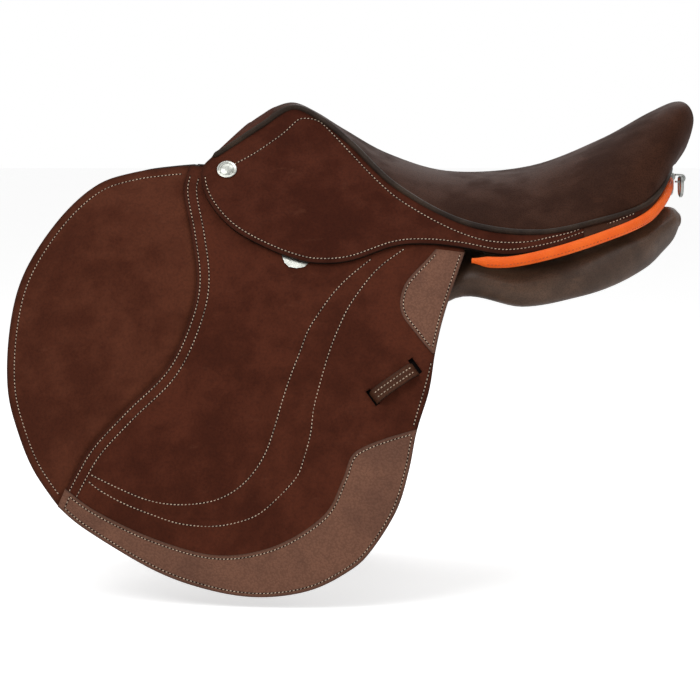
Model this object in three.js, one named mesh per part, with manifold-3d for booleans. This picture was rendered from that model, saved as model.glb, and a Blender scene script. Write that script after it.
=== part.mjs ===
// An english jumping saddle in millimetres: -X is the pommel end, +Z is up and -Y is the left (near) side.
// The left side is modelled and the right side is its mirror image.
import * as THREE from "three";
import { mergeVertices } from "three/addons/utils/BufferGeometryUtils.js";
import Module from "manifold-3d";

const wasm = await Module();
wasm.setup();

// ---- Overall shape of the sides ----
const LINE_FRONT = { x: -213, y: 88, z: 116 }; // front end of the straight line that the sides hang from
const LINE_REAR = { x: 30, y: 130, z: 57.5 }; // rear end of the same line
const SIDE_SLOPE = 0.68; // how far the sides lean out for each mm down, at the line
const SIDE_FALL = 180; // depth over which the lean dies away to vertical
const SIDE_BOW = 20; // how far the front and rear of the sides curve in
const REAR_BULGE = 22; // extra width over the rear of the panels
const CELL = 36; // grid spacing of the curved leather layers

// ---- Leather layers, as depths in from the outer face of the skirt ----
const SKIRT = { outer: 0, inner: 4.6 };
const PATCH = { outer: 4.2, inner: 5.7 };
const BAR_PLATE = { outer: 4.9, inner: 5.7 };
const FLAP = { outer: 6, inner: 10.5 };
const KNEE_PAD = { outer: 5, inner: 11.2 };
const BILLET = { outer: 12.4, inner: 16 };
const GIRTH_WEB = { outer: 16.6, inner: 18.8 };
const BLOCK = { outer: 12, inner: 21.2 };
const SWEAT_FLAP = { outer: 21.8, inner: 25 };
const GAP = 0.3; // clearance between neighbouring pieces

// ---- Folds, as drops below the hanging line ----
const SKIRT_FOLD = { front: [-213, 116], rear: [10, 57] };
const FLAP_FOLD_DROP = 60;

// ---- Seat ----
const COVER_T = 3;
const FOAM_GAP = 2;
const SEAT_GAP = 1; // between the hidden seat layers
const SEAT_CELL = { station: 0.5, across: 0.2 }; // grid that the hidden seat layers share
const FOAM_T = 18;
const FOAM_T_HEAD = 5;
const WEB_T = 2.2;
const TREE_T = 10;
const STRIP_T = 2;
const HEAD_PLATE_T = 4;
const HEAD_PLATE_X = [-156, -126];
const WELT_R = 2.8;
const WELT_CLEAR = 2.1; // between the welt and the skirt
const COVER_CLEAR = 3.6; // between the welt and the edge of the cover
const TRIM_HALF_HEIGHT = 5;
const TRIM_HALF_THICKNESS = 4.2;

// ---- Stirrup bar, in the tangent frame of the side at BAR_AT ----
const BAR_AT = { x: -124, z: 73 };
const BAR_LENGTH = 56;
const BAR_HEIGHT = 10;
const BAR_T = 4.8;
const BAR_SLOT = 8.4;
const BAR_BACK_T = 3;
const BAR_BACK_REACH = 6; // of the back plate past the end of the bar
const BAR_NECK = 6;
const BAR_OUTER = 4.8; // depth of the bar's outer face, square to the side
const CATCH_PIVOT = 5; // from the end of the bar
const CATCH_LENGTH = 14;
const BAR_WINDOW_CLEAR = 7; // between the bar or its catch and the edge of the window in the flap

// ---- Straps and fittings ----
const BILLET_WIDTH = 25;
const BILLET_LENGTH = 205;
const BILLET_PIVOTS = [-186, -140, -94];
const BILLET_HOLES = 5;
const BILLET_HOLE_PITCH = 18;
const KEEPER_AT = { x: -36, z: -63, turn: 36 };
const KEEPER_WIDTH = 13;
const KEEPER_SPAN = 44;
const KEEPER_CLEAR = 6.8;
const KEEPER_T = 2.2;
const KEEPER_PLAY = 1.2; // all round the keeper's ends in their slots
const NAIL_AT = { x: -187, z: 123 };
const NAIL_R = 9;
const STAPLE_AT = { x: 230, y: 46, z: 115 };
const STAPLE_T = 1.6;
const STAPLE_PLAY = 0.5;
const STAPLE_WIDTH = 10;
const STAPLE_LEG = 5;
const DEE_WIDTH = 20;
const DEE_WIRE_R = 1.9;

const LOOKS = {
  nubuck: { color: 0x4b251a, roughness: 0.9, metalness: 0 },
  nubuckDark: { color: 0x43201a, roughness: 0.9, metalness: 0 },
  smooth: { color: 0x3f2822, roughness: 0.42, metalness: 0 },
  panel: { color: 0x564437, roughness: 0.5, metalness: 0 },
  grain: { color: 0x6b473b, roughness: 0.6, metalness: 0 },
  trim: { color: 0xe5692b, roughness: 0.5, metalness: 0 },
  welt: { color: 0x37281f, roughness: 0.6, metalness: 0 },
  strap: { color: 0x3a241a, roughness: 0.6, metalness: 0 },
  web: { color: 0xb9ad92, roughness: 0.95, metalness: 0 },
  foam: { color: 0xc9bf9f, roughness: 0.95, metalness: 0 },
  wood: { color: 0x8c6a43, roughness: 0.7, metalness: 0 },
  steel: { color: 0xb9bcbc, roughness: 0.35, metalness: 1 },
};

// ---- Small helpers ----
const lerp = THREE.MathUtils.lerp;
const smoothstep = (x, from, to) => THREE.MathUtils.smoothstep(x, from, to);
const deg = THREE.MathUtils.degToRad;

// A closed body in three.js as a solid that can be joined and cut.
function toSolid(geometry) {
  const bare = geometry.clone();
  bare.deleteAttribute("normal");
  bare.deleteAttribute("uv");
  const merged = mergeVertices(bare, 1e-4);
  const triVerts = new Uint32Array(merged.index.array);
  const vertProperties = new Float32Array(merged.attributes.position.array);
  return new wasm.Manifold(new wasm.Mesh({ numProp: 3, vertProperties, triVerts }));
}

function toGeometry(solid) {
  const mesh = solid.getMesh();
  const geometry = new THREE.BufferGeometry();
  geometry.setAttribute("position", new THREE.BufferAttribute(new Float32Array(mesh.vertProperties), 3));
  geometry.setIndex(new THREE.BufferAttribute(new Uint32Array(mesh.triVerts), 1));
  return geometry;
}

// The largest body of a cut solid, without slivers.
function largest(solid) {
  return solid.decompose().sort((a, b) => b.volume() - a.volume())[0];
}

// Turns the faces round where a body was wound inside out.
function facingOut(geometry) {
  const at = geometry.attributes.position;
  const index = geometry.index.array;
  const [a, b, c] = [new THREE.Vector3(), new THREE.Vector3(), new THREE.Vector3()];
  let volume = 0;
  for (let i = 0; i < index.length; i += 3) {
    a.fromBufferAttribute(at, index[i]);
    b.fromBufferAttribute(at, index[i + 1]);
    c.fromBufferAttribute(at, index[i + 2]);
    volume += a.dot(b.cross(c));
  }
  if (volume < 0) {
    for (let i = 0; i < index.length; i += 3) {
      [index[i + 1], index[i + 2]] = [index[i + 2], index[i + 1]];
    }
  }
  return geometry;
}

// A closed body between two surfaces, each a function of u and v from 0 to 1.
function between(top, bottom, nu, nv) {
  const points = [];
  const faces = [];
  const row = nv + 1;
  const sheet = (nu + 1) * row;
  for (const surface of [top, bottom]) {
    for (let i = 0; i <= nu; i += 1) {
      for (let j = 0; j <= nv; j += 1) {
        points.push(...surface(i / nu, j / nv).toArray());
      }
    }
  }
  const quad = (a, b, c, d) => faces.push(a, b, c, a, c, d);
  for (let i = 0; i < nu; i += 1) {
    for (let j = 0; j < nv; j += 1) {
      const k = i * row + j;
      quad(k, k + row, k + row + 1, k + 1);
      quad(sheet + k + 1, sheet + k + row + 1, sheet + k + row, sheet + k);
    }
  }
  for (let i = 0; i < nu; i += 1) {
    const near = i * row;
    const far = near + nv;
    quad(near + row, near, sheet + near, sheet + near + row);
    quad(far, far + row, sheet + far + row, sheet + far);
  }
  for (let j = 0; j < nv; j += 1) {
    const end = nu * row + j;
    quad(j, j + 1, sheet + j + 1, sheet + j);
    quad(end + 1, end, sheet + end, sheet + end + 1);
  }
  const geometry = new THREE.BufferGeometry();
  geometry.setAttribute("position", new THREE.Float32BufferAttribute(points, 3));
  geometry.setIndex(faces);
  return facingOut(geometry);
}

// A closed body through a row of rings with the same number of points.
function loft(rings) {
  const count = rings[0].length;
  const faces = [];
  for (let i = 0; i + 1 < rings.length; i += 1) {
    for (let j = 0; j < count; j += 1) {
      const a = i * count + j;
      const b = i * count + ((j + 1) % count);
      faces.push(a, b, b + count, a, b + count, a + count);
    }
  }
  const cap = THREE.ShapeUtils.triangulateShape(rings[0].map((p) => new THREE.Vector2(p.y, p.z)), []);
  const last = (rings.length - 1) * count;
  const end = THREE.ShapeUtils.triangulateShape(rings.at(-1).map((p) => new THREE.Vector2(p.y, p.z)), []);
  cap.forEach(([a, b, c]) => faces.push(a, c, b));
  end.forEach(([a, b, c]) => faces.push(last + a, last + b, last + c));
  const geometry = new THREE.BufferGeometry();
  const points = rings.flat().flatMap((p) => p.toArray());
  geometry.setAttribute("position", new THREE.Float32BufferAttribute(points, 3));
  geometry.setIndex(faces);
  return toSolid(facingOut(geometry));
}

// Points along smooth runs that meet at corners.
function outline(...runs) {
  const points = [];
  for (const run of runs) {
    const at = run.map(([x, y]) => new THREE.Vector2(x, y));
    const spline = new THREE.SplineCurve(at);
    const steps = run.length > 2 ? (run.length - 1) * 2 : 1;
    points.push(...spline.getPoints(steps));
  }
  return points.filter((p, i) => p.distanceTo(points[(i + 1) % points.length]) > 0.05);
}

// An outline pushed out along Z from its own plane.
function extrude(points, depth, curveSegments = 6) {
  const shape = Array.isArray(points) ? new THREE.Shape(points) : points;
  return new THREE.ExtrudeGeometry(shape, { depth, curveSegments, bevelEnabled: false });
}

// A prism that runs across the saddle, from the middle out to the left.
function sidePrism(points, from = 0, to = 300) {
  const geometry = extrude(points, to - from);
  geometry.rotateX(Math.PI / 2);
  geometry.translate(0, -from, 0);
  return toSolid(geometry);
}

// A prism that runs straight up.
function upPrism(points, from, to) {
  const geometry = extrude(points, to - from);
  geometry.translate(0, 0, from);
  return toSolid(geometry);
}

// ---- The sides ----
const lineZ = (x) => lerp(LINE_FRONT.z, LINE_REAR.z, (x - LINE_FRONT.x) / (LINE_REAR.x - LINE_FRONT.x));
const lineY = (x) => lerp(LINE_FRONT.y, LINE_REAR.y, (x - LINE_FRONT.x) / (LINE_REAR.x - LINE_FRONT.x));

// How far the outer face of the skirt is from the middle of the saddle.
function halfWidth(x, z) {
  const drop = lineZ(x) - z;
  let y = lineY(x) + REAR_BULGE * smoothstep(x, 20, 140);
  if (drop < 0) {
    y += SIDE_SLOPE * drop;
  } else {
    y += SIDE_SLOPE * SIDE_FALL * (1 - Math.exp(-drop / SIDE_FALL));
    y -= SIDE_BOW * ((x + 120) / 270) ** 2 * (1 - Math.exp(-((drop / 120) ** 2)));
  }
  if (x > 150) y -= 75 * ((x - 150) / 75) ** 2;
  return y;
}

// A curved layer of leather on the left side, cut to an outline.
// Every layer shares one grid, so the gaps between them stay even.
function sideLayer(points, layer) {
  const box = new THREE.Box2().setFromPoints(points).expandByScalar(1);
  const from = box.min.divideScalar(CELL).floor();
  const cells = box.max.divideScalar(CELL).ceil().sub(from);
  const face = (depth) => (u, v) => {
    const x = (from.x + u * cells.x) * CELL;
    const z = (from.y + v * cells.y) * CELL;
    return new THREE.Vector3(x, depth - halfWidth(x, z), z);
  };
  const slab = toSolid(between(face(layer.outer), face(layer.inner), cells.x, cells.y));
  return slab.intersect(sidePrism(points));
}

// Moves a body modelled about its own origin onto the left side.
// Its X runs to the rear, its Y up the side and its Z out.
function onSide(geometry, at, turn = 0) {
  const y = -halfWidth(at.x, at.z);
  const rear = new THREE.Vector3(1, -halfWidth(at.x + 1, at.z) - y, 0).normalize();
  const up = new THREE.Vector3(0, -halfWidth(at.x, at.z + 1) - y, 1);
  const out = rear.clone().cross(up).normalize();
  const along = out.clone().cross(rear);
  const frame = new THREE.Matrix4().makeBasis(rear, along, out).setPosition(at.x, y, at.z);
  return geometry.clone().rotateZ(deg(turn)).applyMatrix4(frame);
}

// ---- Outlines of the left side, as X and Z ----
const SEAM = [[-221, 127], [-226, 104], [-218, 64], [-213, 24], [-220, -11], [-240, -53],
  [-276, -89], [-308, -124], [-328, -159], [-337, -177]];
const FLAP_BOTTOM = [[-337, -177], [-311, -197], [-249, -231], [-199, -247], [-154, -252], [-110, -245],
  [-75, -227], [-56, -209], [-34, -174], [-23, -139], [-16, -105], [-5, -70], [1, -35], [10, 0], [28, 50]];
const PAD_FRONT = [[-337, -177], [-360, -145], [-375, -110], [-384, -75], [-384, -30], [-376, 15],
  [-359, 51], [-332, 87], [-303, 111], [-272, 121], [-244, 125], [-221, 127]];
const GUARD_TOP = [[-345, -150], [-328, -162], [-302, -180], [-249, -203], [-193, -216], [-142, -207],
  [-99, -180], [-82, -149], [-74, -128], [-62, -119], [-41, -111], [-10, -103]];
const PATCH_FRONT = [[0, 51], [-18, 32], [-30, 8], [-26, -8], [-10, -28], [4, -45]];
const SKIRT_LOW = [[187, 83], [165, 75], [134, 65], [104, 55], [64, 49], [25, 55], [-5, 58], [-35, 56],
  [-75, 43], [-106, 41], [-129, 46], [-152, 55], [-175, 67], [-191, 80], [-204, 97], [-210, 113], [-209, 126],
  [-202, 134]];
const SWEAT_OUTLINE = [[-205, 60], [-290, 66], [-335, 30], [-352, -50], [-338, -120], [-285, -175],
  [-200, -212], [-120, -212], [-72, -180], [-46, -140], [-36, -100], [-24, -40], [-14, 10], [-12, 22]];
const KNEE_BLOCK_OUTLINE = [[-300, 60], [-322, 54], [-342, 10], [-352, -50], [-344, -100], [-330, -118],
  [-316, -104], [-318, -50], [-312, 0], [-296, 40], [-300, 60]];
const CALF_BLOCK_OUTLINE = [[-38, -66], [-32, -80], [-36, -120], [-46, -150], [-57, -160], [-62, -146],
  [-58, -110], [-50, -76], [-38, -66]];

// ---- The seat, from its rim curve, its middle line and the line its layers shrink towards ----
const RIM = [[-200, 75, 135], [-181, 67, 147], [-157, 57, 163], [-127, 45, 180], [-101, 54, 169],
  [-75, 68, 148], [-35, 94, 110], [26, 117, 77], [95, 138, 68], [150, 140, 79], [188, 111, 90], [204, 88, 101],
  [215, 60, 114], [221, 30, 121], [224, 6, 124]];
const MIDDLE = [[-166, 168], [-157, 174], [-145, 181], [-127, 185], [-106, 176], [-80, 160], [-38, 137],
  [19, 121], [94, 126], [160, 151], [206, 176], [233, 186], [245, 172], [240, 146], [230, 128]];
const CORE = [[-150, 150], [-146, 150], [-138, 150], [-122, 150], [-100, 142], [-75, 125], [-38, 100],
  [19, 85], [90, 90], [140, 105], [175, 125], [190, 135], [198, 135], [198, 130], [198, 124]];

const STATIONS = RIM.length - 1;
const rim = new THREE.CatmullRomCurve3(RIM.map(([x, y, z]) => new THREE.Vector3(x, y, z)));
const middle = new THREE.SplineCurve(MIDDLE.map(([x, z]) => new THREE.Vector2(x, z)));
const core = new THREE.SplineCurve(CORE.map(([x, z]) => new THREE.Vector2(x, z)));

// A point of the seat at a station (0 to STATIONS), a place across (-1 to 1) and a depth.
function seatPoint(station, across, depth) {
  const u = Math.min(station / STATIONS, 1);
  const edge = rim.getPoint(u);
  const top = middle.getPoint(u);
  const inward = core.getPoint(u).sub(top).normalize();
  const power = 2.2 + smoothstep(station, 8, 11);
  const rise = 1 - Math.abs(across) ** power;
  return new THREE.Vector3(
    lerp(edge.x, top.x, rise) + depth * inward.x,
    (edge.y - 0.7 * depth) * across,
    lerp(edge.z, top.y, rise) + depth * inward.y,
  );
}

// The depth of the underside of the foam.
function foamDepth(station, across) {
  const thick = lerp(FOAM_T_HEAD, FOAM_T, smoothstep(station, 3, 6)) - 9 * smoothstep(station, 8.5, 11);
  return COVER_T + FOAM_GAP + thick * (1 - 0.6 * across ** 2);
}

// A layer of the seat between two stations and two depths.
function seatLayer(stations, across, outer, inner) {
  const nu = Math.round((stations[1] - stations[0]) / SEAT_CELL.station);
  const nv = Math.round((across[1] - across[0]) / SEAT_CELL.across);
  const face = (depth) => (u, v) => {
    const station = lerp(...stations, u);
    const place = lerp(...across, v);
    return seatPoint(station, place, depth(station, place));
  };
  return between(face(outer), face(inner), nu, nv);
}

function weltPath(side) {
  const points = rim.getPoints(44).map((p) => new THREE.Vector3(p.x, side * p.y, p.z));
  return new THREE.CatmullRomCurve3(points);
}

function tube(path, width, height, steps, sides = 8) {
  const section = new THREE.Shape();
  section.absellipse(0, 0, width, height, 0, 2 * Math.PI);
  const settings = { steps, extrudePath: path, bevelEnabled: false, curveSegments: sides };
  return new THREE.ExtrudeGeometry(section, settings);
}

// The cover stops short of the welt all round.
function seatCover() {
  const setback = WELT_R + COVER_CLEAR;
  const face = (depth) => (u, v) => {
    const station = u * STATIONS;
    const reach = 1 - setback / Math.max(rim.getPoint(u).y, 2 * setback);
    return seatPoint(station, lerp(-reach, reach, v), depth);
  };
  return toSolid(between(face(0), face(COVER_T), 28, 12));
}

function seatFoam() {
  return toSolid(seatLayer([0.5, 12.5], [-0.8, 0.8], () => COVER_T + FOAM_GAP, foamDepth));
}

function seatWeb() {
  const top = (s, v) => foamDepth(s, v) + SEAT_GAP;
  return toSolid(seatLayer([4.5, 9.5], [-0.6, 0.6], top, (s, v) => top(s, v) + WEB_T));
}

function treeFrame() {
  const top = (s, v) => foamDepth(s, v) + 2 * SEAT_GAP + WEB_T;
  const board = toSolid(seatLayer([1.5, 11.5], [-0.8, 0.8], top, (s, v) => top(s, v) + TREE_T));
  const window = outline([[-92, 0], [-84, 16], [-30, 34], [60, 56], [130, 64], [158, 40], [166, 0],
    [158, -40], [130, -64], [60, -56], [-30, -34], [-84, -16], [-92, 0]]);
  return board.subtract(upPrism(window, 0, 220));
}

function springStrip() {
  const top = (s, v) => foamDepth(s, v) + 3 * SEAT_GAP + GAP + WEB_T + TREE_T;
  return toSolid(seatLayer([4.5, 9], [-0.8, -0.6], top, (s, v) => top(s, v) + STRIP_T));
}

// The strip of suede that lines the front of the pommel arch.
function pommelFacing() {
  const face = (drop) => (u, v) => {
    const across = lerp(-0.92, 0.92, v);
    const edge = seatPoint(0, across, 0);
    const forward = 0.6 + 8 * u + 0.2 * drop;
    return new THREE.Vector3(edge.x - forward, edge.y * (1 + 0.03 * u), edge.z - 1 - 7 * u * u - drop);
  };
  return toSolid(between(face(0), face(3.4), 2, 16));
}

// The steel arch under the head of the tree, with its legs inside the sides.
function headPlate() {
  const arch = (inset) => {
    const points = [[0, 149], [20, 146], [42, 132], [62, 107], [84, 78], [103, 46]];
    const moved = points.map(([y, z]) => new THREE.Vector2(y - inset, z - inset * 0.7));
    return new THREE.SplineCurve(moved).getPoints(12);
  };
  const half = (inset) => arch(inset).filter((p) => p.x >= 0);
  const mirror = (points) => points.map((p) => new THREE.Vector2(-p.x, p.y));
  const outer = half(0);
  const inner = half(HEAD_PLATE_T);
  const ring = [...mirror(outer).reverse(), ...outer.slice(1), ...inner.slice().reverse(), ...mirror(inner)];
  const band = ring.filter((p, i) => p.distanceTo(ring[(i + 1) % ring.length]) > 0.2);
  const geometry = extrude(band, HEAD_PLATE_X[1] - HEAD_PLATE_X[0]);
  const place = new THREE.Matrix4().makeBasis(
    new THREE.Vector3(0, 1, 0),
    new THREE.Vector3(0, 0, 1),
    new THREE.Vector3(1, 0, 0),
  );
  geometry.applyMatrix4(place).translate(HEAD_PLATE_X[0], 0, 0);
  return toSolid(geometry);
}

// ---- Skirt, flap and their patches ----
function foldHalves(solid, front, rear) {
  const slope = (rear[1] - front[1]) / (rear[0] - front[0]);
  const at = (x, shift) => [x, front[1] + slope * (x - front[0]) + shift];
  const far = 700;
  const upper = outline([at(-far, GAP / 2), at(far, GAP / 2)], [[far, far], [-far, far]]);
  const lower = outline([at(far, -GAP / 2), at(-far, -GAP / 2)], [[-far, -far], [far, -far]]);
  return [largest(solid.intersect(sidePrism(upper))), largest(solid.intersect(sidePrism(lower)))];
}

const flapFold = (solid) => foldHalves(solid, [LINE_FRONT.x, LINE_FRONT.z - FLAP_FOLD_DROP],
  [LINE_REAR.x, LINE_REAR.z - FLAP_FOLD_DROP]);

const wholeFlap = outline(PAD_FRONT.slice(0, -1).concat([[-221, 127]]), [[-221, 127], [-203, 128]],
  [[-203, 128], [25, 66]], [[25, 66], [28, 50]], FLAP_BOTTOM.slice().reverse());
const mainFlap = outline(SEAM, FLAP_BOTTOM, [[28, 50], [25, 66]], [[25, 66], [-203, 126]],
  [[-203, 126], [-221, 127]]);

function skirtHalves() {
  const top = rim.getPoints(42).filter((p) => p.x < 188).map((p) => new THREE.Vector2(p.x, p.z));
  const layer = sideLayer([...top, ...outline(SKIRT_LOW)], SKIRT);
  const channel = toSolid(tube(weltPath(-1), WELT_R + WELT_CLEAR, WELT_R + WELT_CLEAR, 30, 3));
  return foldHalves(layer.subtract(channel), SKIRT_FOLD.front, SKIRT_FOLD.rear);
}

// The opening in the flap round the bar, with room for the catch to turn up.
function barWindow() {
  const { x, z } = BAR_AT;
  const front = x - BAR_LENGTH / 2 - BAR_NECK - BAR_WINDOW_CLEAR;
  const pivot = x + BAR_LENGTH / 2 + CATCH_PIVOT;
  const rear = pivot + CATCH_LENGTH + BAR_WINDOW_CLEAR;
  const low = z - BAR_HEIGHT / 2 - BAR_WINDOW_CLEAR;
  const high = z + CATCH_LENGTH + BAR_WINDOW_CLEAR;
  const edge = [[front, low], [rear, low], [rear, z + 9], [pivot - CATCH_LENGTH, high], [front, high]];
  return sidePrism(edge.map(([u, v]) => new THREE.Vector2(u, v)));
}

function keeperSlots() {
  const slot = new THREE.BoxGeometry(KEEPER_T + 2 * KEEPER_PLAY, KEEPER_WIDTH + 2 * KEEPER_PLAY, 30);
  const reach = (KEEPER_SPAN + KEEPER_T) / 2;
  const cut = (x) => toSolid(onSide(slot.clone().translate(x, 0, 0), KEEPER_AT, KEEPER_AT.turn));
  return cut(-reach).add(cut(reach));
}

function flapHalves() {
  const layer = sideLayer(mainFlap, FLAP);
  return flapFold(layer.subtract(barWindow()).subtract(keeperSlots()));
}

function kneePadHalves() {
  const seam = SEAM.slice().reverse().map(([x, z]) => [x - GAP, z]);
  const layer = sideLayer(outline(PAD_FRONT.map(([x, z]) => [x - GAP, z]), seam.slice().reverse()), KNEE_PAD);
  return flapFold(layer);
}

function rearPatchHalves() {
  const area = outline(PATCH_FRONT, [[4, -45], [40, -45]], [[40, -45], [40, 46]], [[40, 46], [0, 51]]);
  return flapFold(sideLayer(area, PATCH).intersect(sidePrism(wholeFlap)));
}

function guard() {
  const area = outline(GUARD_TOP, [[-10, -103], [0, -103]], [[0, -103], [0, -270]], [[0, -270], [-360, -270]],
    [[-360, -270], [-345, -150]]);
  return sideLayer(area, PATCH).intersect(sidePrism(mainFlap));
}

// ---- Under the flap ----
const sweatFlap = () => sideLayer(outline(SWEAT_OUTLINE), SWEAT_FLAP);
const kneeBlock = () => sideLayer(outline(KNEE_BLOCK_OUTLINE), BLOCK);
const calfBlock = () => sideLayer(outline(CALF_BLOCK_OUTLINE), BLOCK);
const GIRTH_WEB_OUTLINE = [[-206, 44], [-206, 24], [-72, 4], [-72, 30]];
const girthWeb = () => sideLayer(GIRTH_WEB_OUTLINE.map(([x, z]) => new THREE.Vector2(x, z)), GIRTH_WEB);

const billetTop = (x) => lineZ(x) - FLAP_FOLD_DROP - 6;

function billet(x) {
  const half = BILLET_WIDTH / 2;
  const top = billetTop(x);
  const low = top - BILLET_LENGTH;
  const strap = outline([[x - half, top], [x + half, top]],
    [[x + half, low + half], [x + half * 0.6, low + 3], [x, low]],
    [[x, low], [x - half * 0.6, low + 3], [x - half, low + half]]);
  let layer = sideLayer(strap, BILLET);
  for (let i = 0; i < BILLET_HOLES; i += 1) {
    const z = low + 30 + i * BILLET_HOLE_PITCH;
    const hole = new THREE.CylinderGeometry(2.1, 2.1, 300, 6).translate(x, -150, z);
    layer = layer.subtract(toSolid(hole));
  }
  return layer;
}

// ---- Panel ----
// Each station has its x, the middle line of the cushion from the channel to its outer edge (y, z),
// and three thicknesses.
const PANEL_STATIONS = [
  { x: -258, line: [[84, 52], [102, -2], [130, -98]], thick: [3, 5, 3] },
  { x: -250, line: [[83, 60], [100, 0], [132, -108]], thick: [7, 12, 8] },
  { x: -190, line: [[52, 96], [96, 20], [142, -128]], thick: [16, 20, 10] },
  { x: -150, line: [[36, 114], [92, 26], [144, -124]], thick: [18, 22, 12] },
  { x: -100, line: [[36, 94], [94, 14], [142, -118]], thick: [20, 26, 12] },
  { x: -40, line: [[36, 76], [100, 14], [128, -56]], thick: [22, 30, 14] },
  { x: 20, line: [[37, 62], [100, 24], [130, 17]], thick: [24, 31, 26] },
  { x: 80, line: [[38, 58], [100, 20], [138, 12]], thick: [26, 36, 32] },
  { x: 130, line: [[40, 64], [100, 29], [132, 24]], thick: [26, 39, 39] },
  { x: 165, line: [[42, 74], [92, 41], [116, 34]], thick: [24, 38, 42] },
  { x: 195, line: [[44, 85], [78, 55], [95, 45]], thick: [20, 33, 39] },
  { x: 212, line: [[46, 87], [66, 67], [79, 57]], thick: [17, 29, 34] },
  { x: 222, line: [[48, 86], [61, 73], [70, 66]], thick: [14, 23, 26] },
  { x: 227, line: [[52, 83], [59, 77], [64, 73]], thick: [5, 9, 10] },
];

function panelRing(station) {
  const [from, bend, to] = station.line.map(([y, z]) => new THREE.Vector2(y, z));
  const spine = new THREE.QuadraticBezierCurve(from, bend, to);
  const width = new THREE.SplineCurve(station.thick.map((t, i) => new THREE.Vector2(i, t / 2)));
  const steps = 8;
  const upper = [];
  const lower = [];
  for (let i = 0; i <= steps; i += 1) {
    const t = i / steps;
    const at = spine.getPoint(t);
    const along = spine.getTangent(t);
    const round = Math.sqrt(Math.max(0, 1 - Math.abs(2 * t - 1) ** 6)) || 0.12;
    const half = width.getPoint(t).y * Math.max(round, 0.12);
    upper.push(new THREE.Vector3(station.x, -(at.x - along.y * half), at.y + along.x * half));
    lower.push(new THREE.Vector3(station.x, -(at.x + along.y * half), at.y - along.x * half));
  }
  return [...upper, ...lower.reverse()];
}

// Rings between the stations come from smooth curves through each of their points.
function panel() {
  const rings = PANEL_STATIONS.map(panelRing);
  const track = (_, i) => new THREE.CatmullRomCurve3(rings.map((ring) => ring[i]), false, "centripetal");
  const tracks = rings[0].map(track);
  const count = 18;
  const fine = [];
  for (let i = 0; i <= count; i += 1) {
    fine.push(tracks.map((curve) => curve.getPoint(i / count)));
  }
  return loft(fine);
}

function rolledTrim() {
  const left = [[34, 141, 43], [67, 148, 42], [112, 153, 52], [164, 143, 69], [192, 113, 80], [206, 88, 91],
    [216, 58, 103], [221, 28, 110], [222, 0, 112]];
  const right = left.slice(0, -1).reverse();
  const points = [...left.map(([x, y, z]) => [x, -y, z]), ...right].map((p) => new THREE.Vector3(...p));
  return toSolid(tube(new THREE.CatmullRomCurve3(points), TRIM_HALF_HEIGHT, TRIM_HALF_THICKNESS, 44, 4));
}

// ---- Metal ----
function nail() {
  const profile = [[0, 0.3], [NAIL_R, 0.3], [NAIL_R, 1.4], [NAIL_R - 2, 2.2], [0, 2.6]];
  const half = profile.map(([r, h]) => new THREE.Vector2(r, h));
  const disc = new THREE.LatheGeometry(half, 16).rotateX(Math.PI / 2);
  return toSolid(facingOut(mergeVertices(onSide(disc, NAIL_AT))));
}

// The bar, its back plate and the neck that joins them in front, with an open slot for the stirrup leather.
function stirrupBar() {
  const end = BAR_LENGTH / 2;
  const inner = BAR_OUTER + BAR_T;
  const plate = inner + BAR_SLOT;
  const back = plate + BAR_BACK_T;
  const hook = [
    [-end - BAR_NECK, -BAR_OUTER],
    [-end - BAR_NECK, -back],
    [end + BAR_BACK_REACH, -back],
    [end + BAR_BACK_REACH, -plate],
    [-end, -plate],
    [-end, -inner],
    [end, -inner],
    [end, -BAR_OUTER],
  ].map(([x, y]) => new THREE.Vector2(x, y));
  const body = extrude(hook, BAR_HEIGHT);
  body.translate(0, 0, -BAR_HEIGHT / 2).rotateX(Math.PI / 2);
  return toSolid(onSide(body, BAR_AT));
}

function barCatch() {
  const r = CATCH_PIVOT - 0.4;
  const lever = new THREE.Shape();
  lever.absarc(0, 0, r, Math.PI / 2, 1.5 * Math.PI);
  lever.lineTo(CATCH_LENGTH, -r * 0.8);
  lever.absarc(CATCH_LENGTH, 0, r * 0.8, -Math.PI / 2, Math.PI / 2);
  const body = extrude(lever, BAR_T);
  body.translate(BAR_LENGTH / 2 + CATCH_PIVOT, 0, -BAR_OUTER - BAR_T);
  return toSolid(onSide(body, BAR_AT));
}

function barPlate() {
  const tongue = [[-138, 60], [-136, 46], [-130, 37], [-116, 37], [-109, 46], [-106, 58]];
  const edge = outline(tongue, [[-106, 58], [-138, 60]]);
  return sideLayer(edge, BAR_PLATE);
}

// A bridge of leather whose ends go down into two slots in the flap.
function keeper() {
  const reach = KEEPER_SPAN / 2;
  const face = FLAP.outer - 0.3;
  const top = KEEPER_CLEAR - face;
  const arch = (grow) => [
    [-reach - grow, -FLAP.inner + 1],
    [-reach - grow, top - 6],
    [-reach + 3 - grow * 0.7, top - 2 + grow * 0.7],
    [-reach + 9, top + grow],
    [reach - 9, top + grow],
    [reach - 3 + grow * 0.7, top - 2 + grow * 0.7],
    [reach + grow, top - 6],
    [reach + grow, -FLAP.inner + 1],
  ].map(([x, y]) => new THREE.Vector2(x, y));
  const body = extrude([...arch(KEEPER_T), ...arch(0).reverse()], KEEPER_WIDTH);
  body.translate(0, 0, -KEEPER_WIDTH / 2).rotateX(Math.PI / 2);
  return toSolid(onSide(body, KEEPER_AT, KEEPER_AT.turn));
}

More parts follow.
